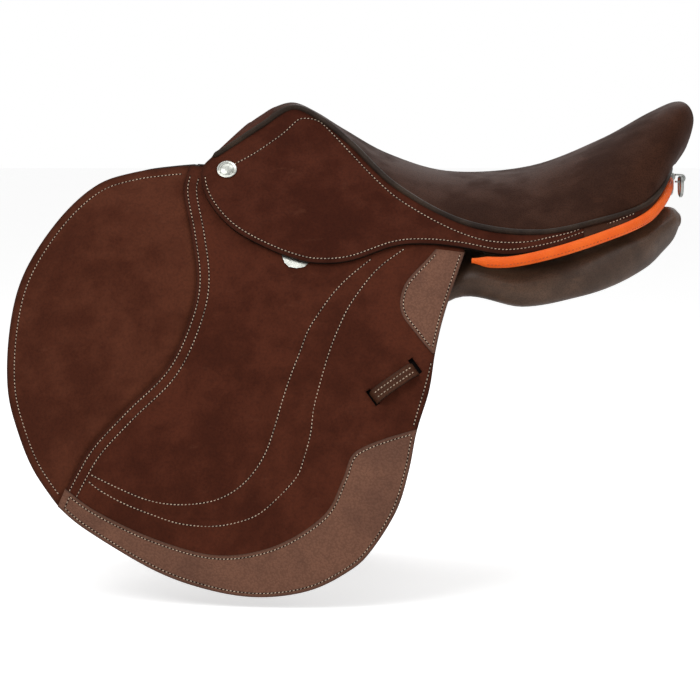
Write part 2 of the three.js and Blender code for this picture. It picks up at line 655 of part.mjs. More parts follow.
// A clip on the back of the cantle, open towards it, that holds the straight side of a dee.
function rearStaple() {
  const { x, y, z } = STAPLE_AT;
  const inner = DEE_WIRE_R + STAPLE_PLAY;
  const outer = inner + STAPLE_T;
  const clip = new THREE.Shape();
  clip.moveTo(-STAPLE_LEG, outer);
  clip.lineTo(0, outer);
  clip.absarc(0, 0, outer, Math.PI / 2, -Math.PI / 2, true);
  clip.lineTo(-STAPLE_LEG, -outer);
  clip.lineTo(-STAPLE_LEG, -inner);
  clip.lineTo(0, -inner);
  clip.absarc(0, 0, inner, -Math.PI / 2, Math.PI / 2, false);
  clip.lineTo(-STAPLE_LEG, inner);
  const body = extrude(clip, STAPLE_WIDTH, 8);
  body.translate(0, 0, -STAPLE_WIDTH / 2).rotateX(Math.PI / 2).translate(x, -y, z);
  return toSolid(body);
}

function rearDee() {
  const { x, y, z } = STAPLE_AT;
  const points = [[-DEE_WIDTH / 2, 0], [-4, 0], [4, 0], [DEE_WIDTH / 2, 0], [DEE_WIDTH / 2, -7]];
  for (let i = 1; i < 6; i += 1) {
    const angle = (i / 6) * Math.PI;
    points.push([(DEE_WIDTH / 2) * Math.cos(angle), -8 - 8 * Math.sin(angle)]);
  }
  points.push([-DEE_WIDTH / 2, -7]);
  const at = points.map(([across, up]) => new THREE.Vector3(x, -y + across, z + up));
  return toSolid(tube(new THREE.CatmullRomCurve3(at, true, "catmullrom", 0.3), DEE_WIRE_R, DEE_WIRE_R, 26, 3));
}

// ---- Assembly ----
const saddle = new THREE.Group();
saddle.name = "english_saddle";

function place(name, solid, look) {
  const mesh = new THREE.Mesh(toGeometry(solid), new THREE.MeshStandardMaterial(LOOKS[look]));
  mesh.name = name;
  saddle.add(mesh);
}

function placeBoth(name, solid, look) {
  place(`${name}_l`, solid, look);
  const right = toGeometry(solid).scale(1, -1, 1);
  const index = right.index.array;
  for (let i = 0; i < index.length; i += 3) {
    [index[i + 1], index[i + 2]] = [index[i + 2], index[i + 1]];
  }
  place(`${name}_r`, toSolid(right), look);
}

place("tree_frame", treeFrame(), "wood");
place("head_plate", headPlate(), "steel");
place("seat_web", seatWeb(), "web");
place("seat_foam", seatFoam(), "foam");
place("seat_cover", seatCover(), "smooth");
place("pommel_facing", pommelFacing(), "nubuckDark");
place("rolled_trim", rolledTrim(), "trim");

const [skirtUpper, skirtLobe] = skirtHalves();
const [flapUpper, flapLower] = flapHalves();
const [padUpper, padLower] = kneePadHalves();
const [patchUpper, patchLower] = rearPatchHalves();
placeBoth("spring_strip", springStrip(), "steel");
placeBoth("welt", toSolid(tube(weltPath(-1), WELT_R, WELT_R, 34, 3)), "welt");
placeBoth("skirt_upper", skirtUpper, "nubuckDark");
placeBoth("skirt_lobe", skirtLobe, "nubuckDark");
placeBoth("flap_upper", flapUpper, "nubuck");
placeBoth("flap", flapLower, "nubuck");
placeBoth("knee_pad_upper", padUpper, "nubuck");
placeBoth("knee_pad", padLower, "nubuck");
placeBoth("rear_patch_upper", patchUpper, "grain");
placeBoth("rear_patch", patchLower, "grain");
placeBoth("guard", guard(), "grain");
placeBoth("keeper", keeper(), "strap");
placeBoth("sweat_flap", sweatFlap(), "strap");
placeBoth("knee_block", kneeBlock(), "smooth");
placeBoth("calf_block", calfBlock(), "smooth");
placeBoth("girth_web", girthWeb(), "web");
BILLET_PIVOTS.forEach((x, i) => placeBoth(`billet_${i + 1}`, billet(x), "strap"));
placeBoth("panel", panel(), "panel");
placeBoth("stirrup_bar", stirrupBar(), "steel");
placeBoth("bar_catch", barCatch(), "steel");
placeBoth("bar_plate", barPlate(), "steel");
placeBoth("nail", nail(), "steel");
placeBoth("rear_staple", rearStaple(), "steel");
placeBoth("rear_dee", rearDee(), "steel");

export default saddle;
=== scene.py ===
"""The looks of an english jumping saddle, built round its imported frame.

The saddle's own sizes are in millimetres, as in the part's source, and become metres when a mesh is made.
-X is the pommel, +X the cantle, -Y the left (near) side and +Z is up.
"""

import logging
import math
from dataclasses import dataclass, field
from enum import Enum
from typing import Callable, Sequence

import bmesh
import bpy
import numpy as np
from mathutils import Matrix, Vector


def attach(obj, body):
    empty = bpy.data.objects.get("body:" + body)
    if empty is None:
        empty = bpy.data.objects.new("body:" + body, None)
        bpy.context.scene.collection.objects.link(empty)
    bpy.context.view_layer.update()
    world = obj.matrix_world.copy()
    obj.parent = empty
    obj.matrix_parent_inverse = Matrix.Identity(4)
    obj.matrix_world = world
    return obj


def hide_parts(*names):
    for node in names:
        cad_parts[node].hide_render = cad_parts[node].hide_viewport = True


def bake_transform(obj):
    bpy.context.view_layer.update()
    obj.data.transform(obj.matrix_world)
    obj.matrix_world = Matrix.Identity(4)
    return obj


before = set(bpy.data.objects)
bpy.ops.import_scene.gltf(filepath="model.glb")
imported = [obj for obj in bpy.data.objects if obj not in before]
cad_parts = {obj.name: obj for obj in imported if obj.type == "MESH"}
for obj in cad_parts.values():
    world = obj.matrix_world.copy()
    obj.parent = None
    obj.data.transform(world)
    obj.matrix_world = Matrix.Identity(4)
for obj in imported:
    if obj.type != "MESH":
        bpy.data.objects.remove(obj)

Points = np.ndarray
Depth = Callable[[Points, Points], Points]

LOG = logging.getLogger("saddle")
MM = 0.001
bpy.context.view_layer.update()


class Side(Enum):
    """A side of the saddle, as the sign of its Y."""

    LEFT = -1
    RIGHT = 1

    @property
    def tag(self) -> str:
        """The ending of the names of this side's pieces."""
        return "l" if self is Side.LEFT else "r"


class Band(Enum):
    """How far a finish's colour wanders over a piece."""

    SOFT = 0.7
    STRONG = 1.0


# ---------------------------------------------------------------------------
# Curves
# ---------------------------------------------------------------------------


def spline(points: Sequence[Sequence[float]], per_span: int = 8) -> Points:
    """Runs a smooth curve through points.

    Args:
        points: Rows of two or three numbers that the curve passes through.
        per_span: How many steps each span between two points gets.

    Returns:
        The points along the curve, the given ones among them.
    """
    at = np.asarray(points, float)
    if len(at) < 3:
        return at
    out = []
    for i in range(len(at) - 1):
        a, b = at[max(i - 1, 0)], at[i]
        c, d = at[i + 1], at[min(i + 2, len(at) - 1)]
        t = np.linspace(0, 1, per_span, endpoint=False)[:, None]
        v0, v1 = (c - a) / 2, (d - b) / 2
        out.append((2 * b - 2 * c + v0 + v1) * t**3 + (-3 * b + 3 * c - 2 * v0 - v1) * t**2 + v0 * t + b)
    return np.vstack([*out, at[-1:]])


def spline_at(points: Sequence[Sequence[float]], u: Points) -> Points:
    """Reads a smooth curve at shares of its spans.

    Args:
        points: Rows that the curve passes through.
        u: Places along the curve from 0 to 1.

    Returns:
        One row for each place.
    """
    at = np.asarray(points, float)
    place = np.clip(np.asarray(u, float), 0, 1) * (len(at) - 1)
    i = np.minimum(place.astype(int), len(at) - 2)
    t = (place - i)[:, None]
    a, b = at[np.maximum(i - 1, 0)], at[i]
    c, d = at[i + 1], at[np.minimum(i + 2, len(at) - 1)]
    v0, v1 = (c - a) / 2, (d - b) / 2
    return (2 * b - 2 * c + v0 + v1) * t**3 + (-3 * b + 3 * c - 2 * v0 - v1) * t**2 + v0 * t + b


def resample(line: Points, count: int) -> Points:
    """Spaces points evenly along a line.

    Args:
        line: The points of the line.
        count: How many points come back.

    Returns:
        The evenly spaced points, both ends among them.
    """
    length = np.concatenate([[0], np.cumsum(np.linalg.norm(np.diff(line, axis=0), axis=1))])
    place = np.linspace(0, length[-1], count)
    return np.stack([np.interp(place, length, line[:, k]) for k in range(line.shape[1])], 1)


def line_length(line: Points) -> float:
    """The length of a line of points."""
    return float(np.linalg.norm(np.diff(line, axis=0), axis=1).sum())


def distance_to(line: Points, x: Points, z: Points) -> Points:
    """How far places on a side are from a line.

    Args:
        line: The line's points as X and Z.
        x: The X of each place.
        z: The Z of each place.

    Returns:
        The distances, in the shape of x.
    """
    a, b = line[:-1], line[1:]
    p = np.stack([np.ravel(x), np.ravel(z)], 1)[:, None, :]
    span = b - a
    t = np.clip(((p - a) * span).sum(2) / np.maximum((span**2).sum(1), 1e-9), 0, 1)
    near = np.linalg.norm(p - (a + t[:, :, None] * span), axis=2).min(1)
    return near.reshape(np.shape(x))


def ease(value: Points, start: float, end: float) -> Points:
    """A smooth rise from 0 at start to 1 at end."""
    t = np.clip((np.asarray(value, float) - start) / (end - start), 0, 1)
    return t * t * (3 - 2 * t)


# ---------------------------------------------------------------------------
# Meshes
# ---------------------------------------------------------------------------


@dataclass
class Shell:
    """The points and faces of a mesh being made, in millimetres."""

    points: list = field(default_factory=list)
    faces: list = field(default_factory=list)
    edge: list = field(default_factory=list)

    def add(self, points: Points, faces: Sequence[Sequence[int]], edge: Points | None = None) -> None:
        """Adds some points and the faces between them.

        Args:
            points: Rows of X, Y and Z.
            faces: Rows of indices into points.
            edge: How near each point is to a cut edge, from 0 to 1.
        """
        start = len(self.points)
        self.points.extend(np.asarray(points, float).tolist())
        self.faces.extend([[start + i for i in face] for face in faces])
        self.edge.extend((np.zeros(len(points)) if edge is None else np.asarray(edge)).tolist())

    def to_object(self, name: str, smooth: float = 60) -> bpy.types.Object:
        """Makes the mesh and its object.

        Args:
            name: The piece's name.
            smooth: The angle in degrees under which edges look smooth.

        Returns:
            The new object, at the origin.
        """
        mesh = bpy.data.meshes.new(name)
        mesh.from_pydata((np.asarray(self.points) * MM).tolist(), [], self.faces)
        mesh.update()
        worn = mesh.attributes.new("edge", "FLOAT", "POINT")
        worn.data.foreach_set("value", np.asarray(self.edge, np.float32))
        obj = bpy.data.objects.new(name, mesh)
        bpy.context.scene.collection.objects.link(obj)
        only(obj)
        bpy.ops.object.shade_smooth_by_angle(angle=math.radians(smooth))
        return obj


def only(obj: bpy.types.Object) -> None:
    """Selects one object and makes it active."""
    bpy.ops.object.select_all(action="DESELECT")
    obj.select_set(True)
    bpy.context.view_layer.objects.active = obj


def apply_all(obj: bpy.types.Object) -> None:
    """Applies every modifier of an object in order."""
    only(obj)
    for modifier in list(obj.modifiers):
        bpy.ops.object.modifier_apply(modifier=modifier.name)


def tidy_normals(obj: bpy.types.Object) -> None:
    """Merges doubled points and turns a closed mesh's faces outwards."""
    work = bmesh.new()
    work.from_mesh(obj.data)
    bmesh.ops.remove_doubles(work, verts=work.verts, dist=1e-6)
    bmesh.ops.recalc_face_normals(work, faces=work.faces)
    work.to_mesh(obj.data)
    work.free()


def merge(obj: bpy.types.Object) -> None:
    """Merges an open surface's doubled points, where its edges meet."""
    work = bmesh.new()
    work.from_mesh(obj.data)
    bmesh.ops.remove_doubles(work, verts=work.verts, dist=2e-5)
    work.to_mesh(obj.data)
    work.free()


def thicken(obj: bpy.types.Object, thick: float, bevel: float = 0.5, segments: int = 2) -> None:
    """Gives an open surface its thickness, inwards, and rounds its cut edges.

    Args:
        obj: The open surface, facing outwards.
        thick: The thickness in millimetres.
        bevel: The rounding of the cut edges in millimetres.
        segments: How many steps the rounding has.
    """
    solid = obj.modifiers.new("thickness", "SOLIDIFY")
    solid.thickness = thick * MM
    solid.offset = -1
    solid.use_even_offset = True
    solid.use_rim = True
    if len(obj.data.materials) > 1:
        solid.material_offset_rim = 1
    if bevel:
        round_edges(obj, bevel, segments)
    apply_all(obj)


def round_edges(obj: bpy.types.Object, width: float, segments: int = 2, angle: float = 50) -> None:
    """Adds a bevel on the sharp edges of an object, in millimetres."""
    bevel = obj.modifiers.new("rounding", "BEVEL")
    bevel.width = width * MM
    bevel.segments = segments
    bevel.limit_method = "ANGLE"
    bevel.angle_limit = math.radians(angle)
    bevel.harden_normals = False


def cut(obj: bpy.types.Object, tool: bpy.types.Object) -> None:
    """Cuts a closed tool out of an object and removes the tool."""
    boolean = obj.modifiers.new("cut", "BOOLEAN")
    boolean.operation = "DIFFERENCE"
    boolean.solver = "EXACT"
    boolean.object = tool
    apply_all(obj)
    bpy.data.objects.remove(tool)


def grid_faces(rows: int, columns: int) -> list:
    """The faces of a grid of points.

    Args:
        rows: How many rows of points there are.
        columns: How many points are in a row.

    Returns:
        The faces as lists of four indices.
    """
    faces = []
    for i in range(rows - 1):
        for j in range(columns - 1):
            k = i * columns + j
            face = [k, k + 1, k + columns + 1, k + columns]
            faces.append(face)
    return faces


def facing(points: Points, faces: list, outward: Points) -> list:
    """Turns faces so that most of them look outwards.

    Args:
        points: The points of an open surface.
        faces: Its faces.
        outward: A direction for each point.

    Returns:
        The faces, turned round if they looked inwards.
    """
    total = 0.0
    for face in faces[:: max(1, len(faces) // 200)]:
        a, b, c = points[face[0]], points[face[1]], points[face[2]]
        total += float(np.dot(np.cross(b - a, c - a), outward[face[0]]))
    return faces if total > 0 else [face[::-1] for face in faces]


def sweep(path: Points, radii: Sequence[float], sides: int = 10, scale: Points | None = None,
          closed: bool = False) -> Shell:
    """Runs a round or oval section along a path.

    Args:
        path: The points of the middle of the piece.
        radii: Half the section's size across and half its height.
        sides: How many sides the section has.
        scale: A factor for each point of the path.
        closed: Whether the path is a ring.

    Returns:
        The closed tube.
    """
    count = len(path)
    along = np.gradient(path, axis=0)
    if closed:
        along = np.roll(path, -1, axis=0) - np.roll(path, 1, axis=0)
    along /= np.linalg.norm(along, axis=1)[:, None]
    up = np.array([0.0, 0.0, 1.0]) - along * along[:, 2:3]
    up /= np.maximum(np.linalg.norm(up, axis=1)[:, None], 1e-6)
    out = np.cross(along, up)
    angle = np.linspace(0, 2 * math.pi, sides, endpoint=False)
    size = np.ones(count) if scale is None else np.asarray(scale)
    ring = (out[:, None] * (radii[0] * np.cos(angle))[None, :, None]
            + up[:, None] * (radii[1] * np.sin(angle))[None, :, None]) * size[:, None, None]
    points = (path[:, None] + ring).reshape(-1, 3)
    faces = []
    spans = count if closed else count - 1
    for i in range(spans):
        for j in range(sides):
            a, b = i * sides + j, i * sides + (j + 1) % sides
            c, d = ((i + 1) % count) * sides + (j + 1) % sides, ((i + 1) % count) * sides + j
            faces.append([a, b, c, d])
    if not closed:
        faces.append(list(range(sides))[::-1])
        faces.append([(count - 1) * sides + j for j in range(sides)])
    shell = Shell()
    shell.add(points, faces)
    return shell


# ---------------------------------------------------------------------------
# The shape of the sides and of the seat
# ---------------------------------------------------------------------------


@dataclass(frozen=True)
class Sides:
    """The curved surface that the skirts, flaps and straps lie along."""

    front: tuple[float, float, float] = (-213, 88, 116)
    rear: tuple[float, float, float] = (30, 130, 57.5)
    slope: float = 0.68
    fall: float = 180
    bow: float = 20
    bulge: float = 22

    def line_z(self, x: Points) -> Points:
        """The height of the hanging line."""
        share = (x - self.front[0]) / (self.rear[0] - self.front[0])
        return self.front[2] + (self.rear[2] - self.front[2]) * share

    def line_y(self, x: Points) -> Points:
        """Half the width at the hanging line."""
        share = (x - self.front[0]) / (self.rear[0] - self.front[0])
        return self.front[1] + (self.rear[1] - self.front[1]) * share

    def half_width(self, x: Points, z: Points) -> Points:
        """How far the skirt's outer face is from the middle."""
        x, z = np.asarray(x, float), np.asarray(z, float)
        drop = self.line_z(x) - z
        y = self.line_y(x) + self.bulge * ease(x, 20, 140)
        below = self.slope * self.fall * (1 - np.exp(-np.maximum(drop, 0) / self.fall))
        below = below - self.bow * ((x + 120) / 270) ** 2 * (1 - np.exp(-((drop / 120) ** 2)))
        y = y + np.where(drop < 0, self.slope * drop, below)
        return y - 75 * (np.maximum(x - 150, 0) / 75) ** 2

    def point(self, x: Points, z: Points, depth: Points | float, side: Side) -> Points:
        """Places points on a side.

        Args:
            x: Their X.
            z: Their Z.
            depth: How far in they are from the skirt's outer face.
            side: Which side they are on.

        Returns:
            Rows of X, Y and Z.
        """
        x, z = np.ravel(np.asarray(x, float)), np.ravel(np.asarray(z, float))
        y = side.value * (self.half_width(x, z) - np.ravel(np.asarray(depth, float)))
        return np.stack([x, y + np.zeros_like(x), z], 1)

    def outward(self, x: Points, z: Points, side: Side) -> Points:
        """The direction that the surface faces, for each point."""
        x, z = np.ravel(np.asarray(x, float)), np.ravel(np.asarray(z, float))
        dx = self.half_width(x + 0.5, z) - self.half_width(x - 0.5, z)
        dz = self.half_width(x, z + 0.5) - self.half_width(x, z - 0.5)
        out = np.stack([-dx, side.value * np.ones_like(x), -dz], 1)
        return out / np.linalg.norm(out, axis=1)[:, None]


@dataclass(frozen=True)
class SeatShape:
    """The seat's rim, its middle line and the line that its layers shrink towards."""

    rim: tuple = ((-200, 75, 135), (-181, 67, 147), (-157, 57, 163), (-127, 45, 180), (-101, 54, 169),
                  (-75, 68, 148), (-35, 94, 110), (26, 117, 77), (95, 138, 68), (150, 140, 79),
                  (188, 111, 90), (204, 88, 101), (215, 60, 114), (221, 30, 121), (224, 6, 124))
    middle: tuple = ((-166, 168), (-157, 174), (-145, 181), (-127, 185), (-106, 176), (-80, 160),
                     (-38, 137), (19, 121), (94, 126), (160, 151), (206, 176), (233, 186), (245, 172),
                     (240, 146), (230, 128))
    core: tuple = ((-150, 150), (-146, 150), (-138, 150), (-122, 150), (-100, 142), (-75, 125), (-38, 100),
                   (19, 85), (90, 90), (140, 105), (175, 125), (190, 135), (198, 135), (198, 130), (198, 124))

    def rim_at(self, u: Points) -> Points:
        """Reads the rim, a centripetal curve, at shares of its spans.

        Args:
            u: Places from 0 at the pommel to 1 at the cantle.

        Returns:
            Rows of X, Y and Z on the positive side.
        """
        at = np.asarray(self.rim, float)
        at = np.vstack([2 * at[0] - at[1], at, 2 * at[-1] - at[-2]])
        place = np.clip(np.asarray(u, float), 0, 1) * (len(self.rim) - 1)
        i = np.minimum(place.astype(int), len(self.rim) - 2)
        t = (place - i)[:, None]
        p0, p1, p2, p3 = at[i], at[i + 1], at[i + 2], at[i + 3]
        d0, d1, d2 = (np.maximum(np.linalg.norm(b - a, axis=1)[:, None], 1e-4) ** 0.5
                      for a, b in ((p0, p1), (p1, p2), (p2, p3)))
        m1 = ((p1 - p0) / d0 - (p2 - p0) / (d0 + d1) + (p2 - p1) / d1) * d1
        m2 = ((p2 - p1) / d1 - (p3 - p1) / (d1 + d2) + (p3 - p2) / d2) * d1
        return p1 + m1 * t + (-3 * p1 + 3 * p2 - 2 * m1 - m2) * t**2 + (2 * p1 - 2 * p2 + m1 + m2) * t**3

    def point(self, station: Points, across: Points, depth: Points | float) -> Points:
        """Places points on a layer of the seat.

        Args:
            station: From 0 at the pommel to 14 under the cantle.
            across: From -1 on the left to 1 on the right.
            depth: How far in the layer is from the cover's outer face.

        Returns:
            Rows of X, Y and Z.
        """
        station, across = np.ravel(station).astype(float), np.ravel(across).astype(float)
        depth = np.ravel(np.asarray(depth, float)) + np.zeros_like(station)
        u = station / (len(self.rim) - 1)
        edge, top = self.rim_at(u), spline_at(self.middle, u)
        inward = spline_at(self.core, u) - top
        inward /= np.linalg.norm(inward, axis=1)[:, None]
        rise = 1 - np.abs(across) ** (2.2 + ease(station, 8, 11))
        return np.stack([
            edge[:, 0] + (top[:, 0] - edge[:, 0]) * rise + depth * inward[:, 0],
            (edge[:, 1] - 0.7 * depth) * across,
            edge[:, 2] + (top[:, 1] - edge[:, 2]) * rise + depth * inward[:, 1],
        ], 1)


SIDES = Sides()
SEAT = SeatShape()

SEAM = ((-221, 127), (-226, 104), (-218, 64), (-213, 24), (-220, -11), (-240, -53), (-276, -89), (-308, -124),
        (-328, -159), (-337, -177))
FLAP_BOTTOM = ((-337, -177), (-311, -197), (-249, -231), (-199, -247), (-154, -252), (-110, -245),
               (-75, -227), (-56, -209), (-34, -174), (-23, -139), (-16, -105), (-5, -70), (1, -35),
               (10, 0), (28, 50))
PAD_FRONT = ((-337, -177), (-360, -145), (-375, -110), (-384, -75), (-384, -30), (-376, 15), (-359, 51),
             (-332, 87), (-303, 111), (-272, 121), (-244, 125), (-221, 127))
GUARD_TOP = ((-330, -161), (-302, -180), (-249, -203), (-193, -216), (-142, -207), (-99, -180), (-82, -149),
             (-74, -128), (-62, -119), (-41, -111), (-17, -104))
PATCH_FRONT = ((2, 53), (-6, 44), (-18, 32), (-26, 22), (-30, 10), (-30, 0), (-26, -9), (-18, -19),
               (-10, -29), (-2, -38))
SKIRT_LOW = ((187, 83), (165, 75), (134, 65), (104, 55), (64, 49), (25, 55), (-5, 58), (-35, 56), (-75, 43),
             (-106, 41), (-129, 46), (-152, 55), (-175, 67), (-191, 80), (-204, 97), (-210, 113), (-209, 126),
             (-202, 134))
REAR_EDGE_ROW = ((-19, -101), (-14.5, -86), (-9.5, -70), (-5.5, -56), (-3, -46))
CURVE_INNER = ((-56, 44), (-75, 29), (-89, 15), (-101, -1), (-112, -18), (-119, -36), (-128, -59),
               (-135, -80), (-142, -104), (-150, -126), (-162, -145), (-177, -159), (-195, -168),
               (-217, -172), (-239, -172), (-259, -168), (-280, -160), (-294, -154), (-307, -148))
CURVE_OUTER = ((-26, 53), (-35, 47), (-46, 39), (-58, 27), (-75, 4), (-85, -16), (-93, -36), (-100, -59),
               (-107, -86), (-110, -109), (-116, -131), (-122, -146), (-138, -164), (-157, -180),
               (-179, -188), (-201, -191), (-227, -189), (-251, -182), (-276, -173), (-298, -162),
               (-309, -154))
SKIRT_TOP_STITCH = ((-181, 128), (-161, 139), (-138, 155), (-129, 163), (-122, 169), (-114, 170), (-105, 168),
                    (-97, 162), (-75, 139), (-55, 118), (-35, 100), (-15, 87), (5, 76), (25, 67), (45, 61),
                    (65, 59), (85, 60), (104, 64), (124, 69), (144, 77), (165, 82))
TRIM_PATH = ((34, 141, 43), (67, 148, 42), (112, 153, 52), (164, 143, 69), (192, 113, 80), (206, 88, 91),
             (216, 58, 103), (221, 28, 110), (222, 0, 112))


# ---------------------------------------------------------------------------
# Finishes
# ---------------------------------------------------------------------------


def linear(red: int, green: int, blue: int) -> tuple[float, float, float, float]:
    """Turns a colour of 0 to 255 into the numbers that a shader takes."""
    parts = [c / 255 for c in (red, green, blue)]
    low = [c / 12.92 if c <= 0.04045 else ((c + 0.055) / 1.055) ** 2.4 for c in parts]
    return (*low, 1.0)


class Graph:
    """A small helper that adds nodes to a tree and links them."""

    def __init__(self, tree: bpy.types.NodeTree) -> None:
        """Keeps the tree that nodes are added to."""
        self.tree = tree
        self.start: bpy.types.Node | None = None
        self.end: bpy.types.Node | None = None

    def node(self, kind: str, **settings: object) -> bpy.types.Node:
        """Adds a node and sets its own properties."""
        made = self.tree.nodes.new(kind)
        for key, value in settings.items():
            setattr(made, key, value)
        return made

    def link(self, start: object, end: object) -> None:
        """Links an output to an input."""
        self.tree.links.new(start, end)

    def noise(self, where: object, scale: float, detail: float = 4, rough: float = 0.55) -> object:
        """Adds a noise texture and returns its value."""
        made = self.node("ShaderNodeTexNoise")
        made.inputs["Scale"].default_value = scale
        made.inputs["Detail"].default_value = detail
        made.inputs["Roughness"].default_value = rough
        self.link(where, made.inputs["Vector"])
        return made.outputs["Fac"]

    def sum(self, kind: str, a: object, b: object) -> object:
        """Does one sum on two values, each a number or an output, and returns the result."""
        made = self.node("ShaderNodeMath", operation=kind)
        for slot, value in zip(made.inputs, (a, b)):
            if isinstance(value, (int, float)):
                slot.default_value = value
            else:
                self.link(value, slot)
        return made.outputs[0]

    def span(self, value: object, low: float, high: float, to_low: float = 0, to_high: float = 1) -> object:
        """Stretches a value from one range to another."""
        made = self.node("ShaderNodeMapRange", interpolation_type="SMOOTHSTEP")
        self.link(value, made.inputs["Value"])
        for name, number in (("From Min", low), ("From Max", high), ("To Min", to_low), ("To Max", to_high)):
            made.inputs[name].default_value = number
        return made.outputs["Result"]

    def mix(self, share: object, a: object, b: object) -> object:
        """Mixes two colours, each a colour or an output, and returns the result."""
        made = self.node("ShaderNodeMix", data_type="RGBA")
        self.link(share, made.inputs["Factor"])
        for slot, value in ((made.inputs[6], a), (made.inputs[7], b)):
            if isinstance(value, tuple):
                slot.default_value = value
            else:
                self.link(value, slot)
        return made.outputs[2]


def new_group(name: str, inputs: Sequence[tuple[str, str, float]], outputs: Sequence[str]) -> Graph:
    """Starts a shader node group with named sockets.

    Args:
        name: The group's name.
        inputs: The name, the kind (Float or Vector) and the default value of each input.
        outputs: The names of its outputs, all values.

    Returns:
        A helper on the new group.
    """
    tree = bpy.data.node_groups.new(name, "ShaderNodeTree")
    for label, kind, value in inputs:
        socket = tree.interface.new_socket(label, in_out="INPUT", socket_type=f"NodeSocket{kind}")
        if kind == "Float":
            socket.default_value = value
    for label in outputs:
        tree.interface.new_socket(label, in_out="OUTPUT", socket_type="NodeSocketFloat")
    graph = Graph(tree)
    graph.start = graph.node("NodeGroupInput")
    graph.end = graph.node("NodeGroupOutput")
    return graph


def scaled(graph: Graph, vector: object, factor: object) -> object:
    """Multiplies a vector by a value and returns the result."""
    made = graph.node("ShaderNodeVectorMath", operation="SCALE")
    graph.link(vector, made.inputs[0])
    graph.link(factor, made.inputs["Scale"])
    return made.outputs[0]


def mottle_group() -> bpy.types.NodeTree:
    """Uneven dye: large clouds, small clouds and pale scuffs.

    Returns:
        The group, with outputs Clouds, Scuffs and Flecks.
    """
    inputs = [("Vector", "Vector", 0), ("Scale", "Float", 1)]
    graph = new_group("uneven_dye", inputs, ["Clouds", "Scuffs", "Flecks"])
    at = scaled(graph, graph.start.outputs["Vector"], graph.start.outputs["Scale"])
    large = graph.noise(at, 14, 3, 0.6)
    small = graph.noise(at, 55, 5, 0.6)
    clouds = graph.sum("ADD", graph.sum("MULTIPLY", large, 0.62), graph.sum("MULTIPLY", small, 0.38))
    graph.link(graph.span(clouds, 0.36, 0.64), graph.end.inputs["Clouds"])
    stretch = graph.node("ShaderNodeMapping")
    stretch.inputs["Scale"].default_value = (1.0, 1.0, 2.6)
    stretch.inputs["Rotation"].default_value = (0.0, 0.5, 0.0)
    graph.link(at, stretch.inputs["Vector"])
    scuffs = graph.noise(stretch.outputs[0], 33, 6, 0.68)
    graph.link(graph.span(scuffs, 0.6, 0.78), graph.end.inputs["Scuffs"])
    graph.link(graph.noise(at, 420, 2, 0.6), graph.end.inputs["Flecks"])
    return graph.tree


def pebble_group() -> bpy.types.NodeTree:
    """The raised grain of leather: rounded cells with creases between them.

    Returns:
        The group, with outputs Height and Creases.
    """
    inputs = [("Vector", "Vector", 0), ("Cells", "Float", 400)]
    graph = new_group("leather_grain", inputs, ["Height", "Creases"])
    where = graph.start.outputs["Vector"]
    warp = graph.node("ShaderNodeTexNoise")
    warp.inputs["Scale"].default_value = 160
    warp.inputs["Detail"].default_value = 2
    graph.link(where, warp.inputs["Vector"])
    push = graph.node("ShaderNodeVectorMath", operation="MULTIPLY_ADD")
    graph.link(warp.outputs["Color"], push.inputs[0])
    push.inputs[1].default_value = (0.0022, 0.0022, 0.0022)
    graph.link(where, push.inputs[2])
    cells = graph.node("ShaderNodeTexVoronoi", feature="SMOOTH_F1")
    graph.link(push.outputs[0], cells.inputs["Vector"])
    graph.link(graph.start.outputs["Cells"], cells.inputs["Scale"])
    cells.inputs["Smoothness"].default_value = 0.35
    height = graph.span(cells.outputs["Distance"], 0.15, 0.75, 1, 0)
    graph.link(height, graph.end.inputs["Height"])
    graph.link(graph.span(cells.outputs["Distance"], 0.42, 0.7), graph.end.inputs["Creases"])
    return graph.tree


def weave_group() -> bpy.types.NodeTree:
    """A plain weave: threads that pass over and under each other.

    Returns:
        The group, with the output Height.
    """
    graph = new_group("plain_weave", [("Vector", "Vector", 0), ("Threads", "Float", 900)], ["Height"])
    at = scaled(graph, graph.start.outputs["Vector"], graph.start.outputs["Threads"])
    split = graph.node("ShaderNodeSeparateXYZ")
    graph.link(at, split.inputs[0])
    across = graph.sum("ABSOLUTE", graph.sum("SINE", split.outputs["X"], 0), 0)
    along = graph.sum("ABSOLUTE", graph.sum("SINE", split.outputs["Z"], 0), 0)
    graph.link(graph.sum("MAXIMUM", across, along), graph.end.inputs["Height"])
    return graph.tree


class Groups:
    """The node groups that the finishes share, each built once."""

    def __init__(self) -> None:
        """Builds the groups."""
        self.mottle = mottle_group()
        self.pebble = pebble_group()
        self.weave = weave_group()


GROUPS = Groups()


def place_group(graph: Graph, group: bpy.types.NodeTree, where: object, **values: float) -> bpy.types.Node:
    """Puts a shared group in a material with its own values.

    Args:
        graph: The material's helper.
        group: The group to place.
        where: The coordinates that it reads.
        **values: The values of its other inputs.

    Returns:
        The placed node.
    """
    made = graph.node("ShaderNodeGroup")
    made.node_tree = group
    graph.link(where, made.inputs["Vector"])
    for key, value in values.items():
        made.inputs[key].default_value = value
    return made


def start_material(name: str) -> tuple[bpy.types.Material, Graph, bpy.types.Node, object]:
    """Starts a material with its main shader and Object coordinates.

    Args:
        name: The material's name.

    Returns:
        The material, its helper, the Principled node and the coordinates.
    """
    material = bpy.data.materials.new(name)
    material.use_nodes = True
    graph = Graph(material.node_tree)
    shader = next(n for n in material.node_tree.nodes if n.type == "BSDF_PRINCIPLED")
    where = graph.node("ShaderNodeTexCoord").outputs["Object"]
    return material, graph, shader, where


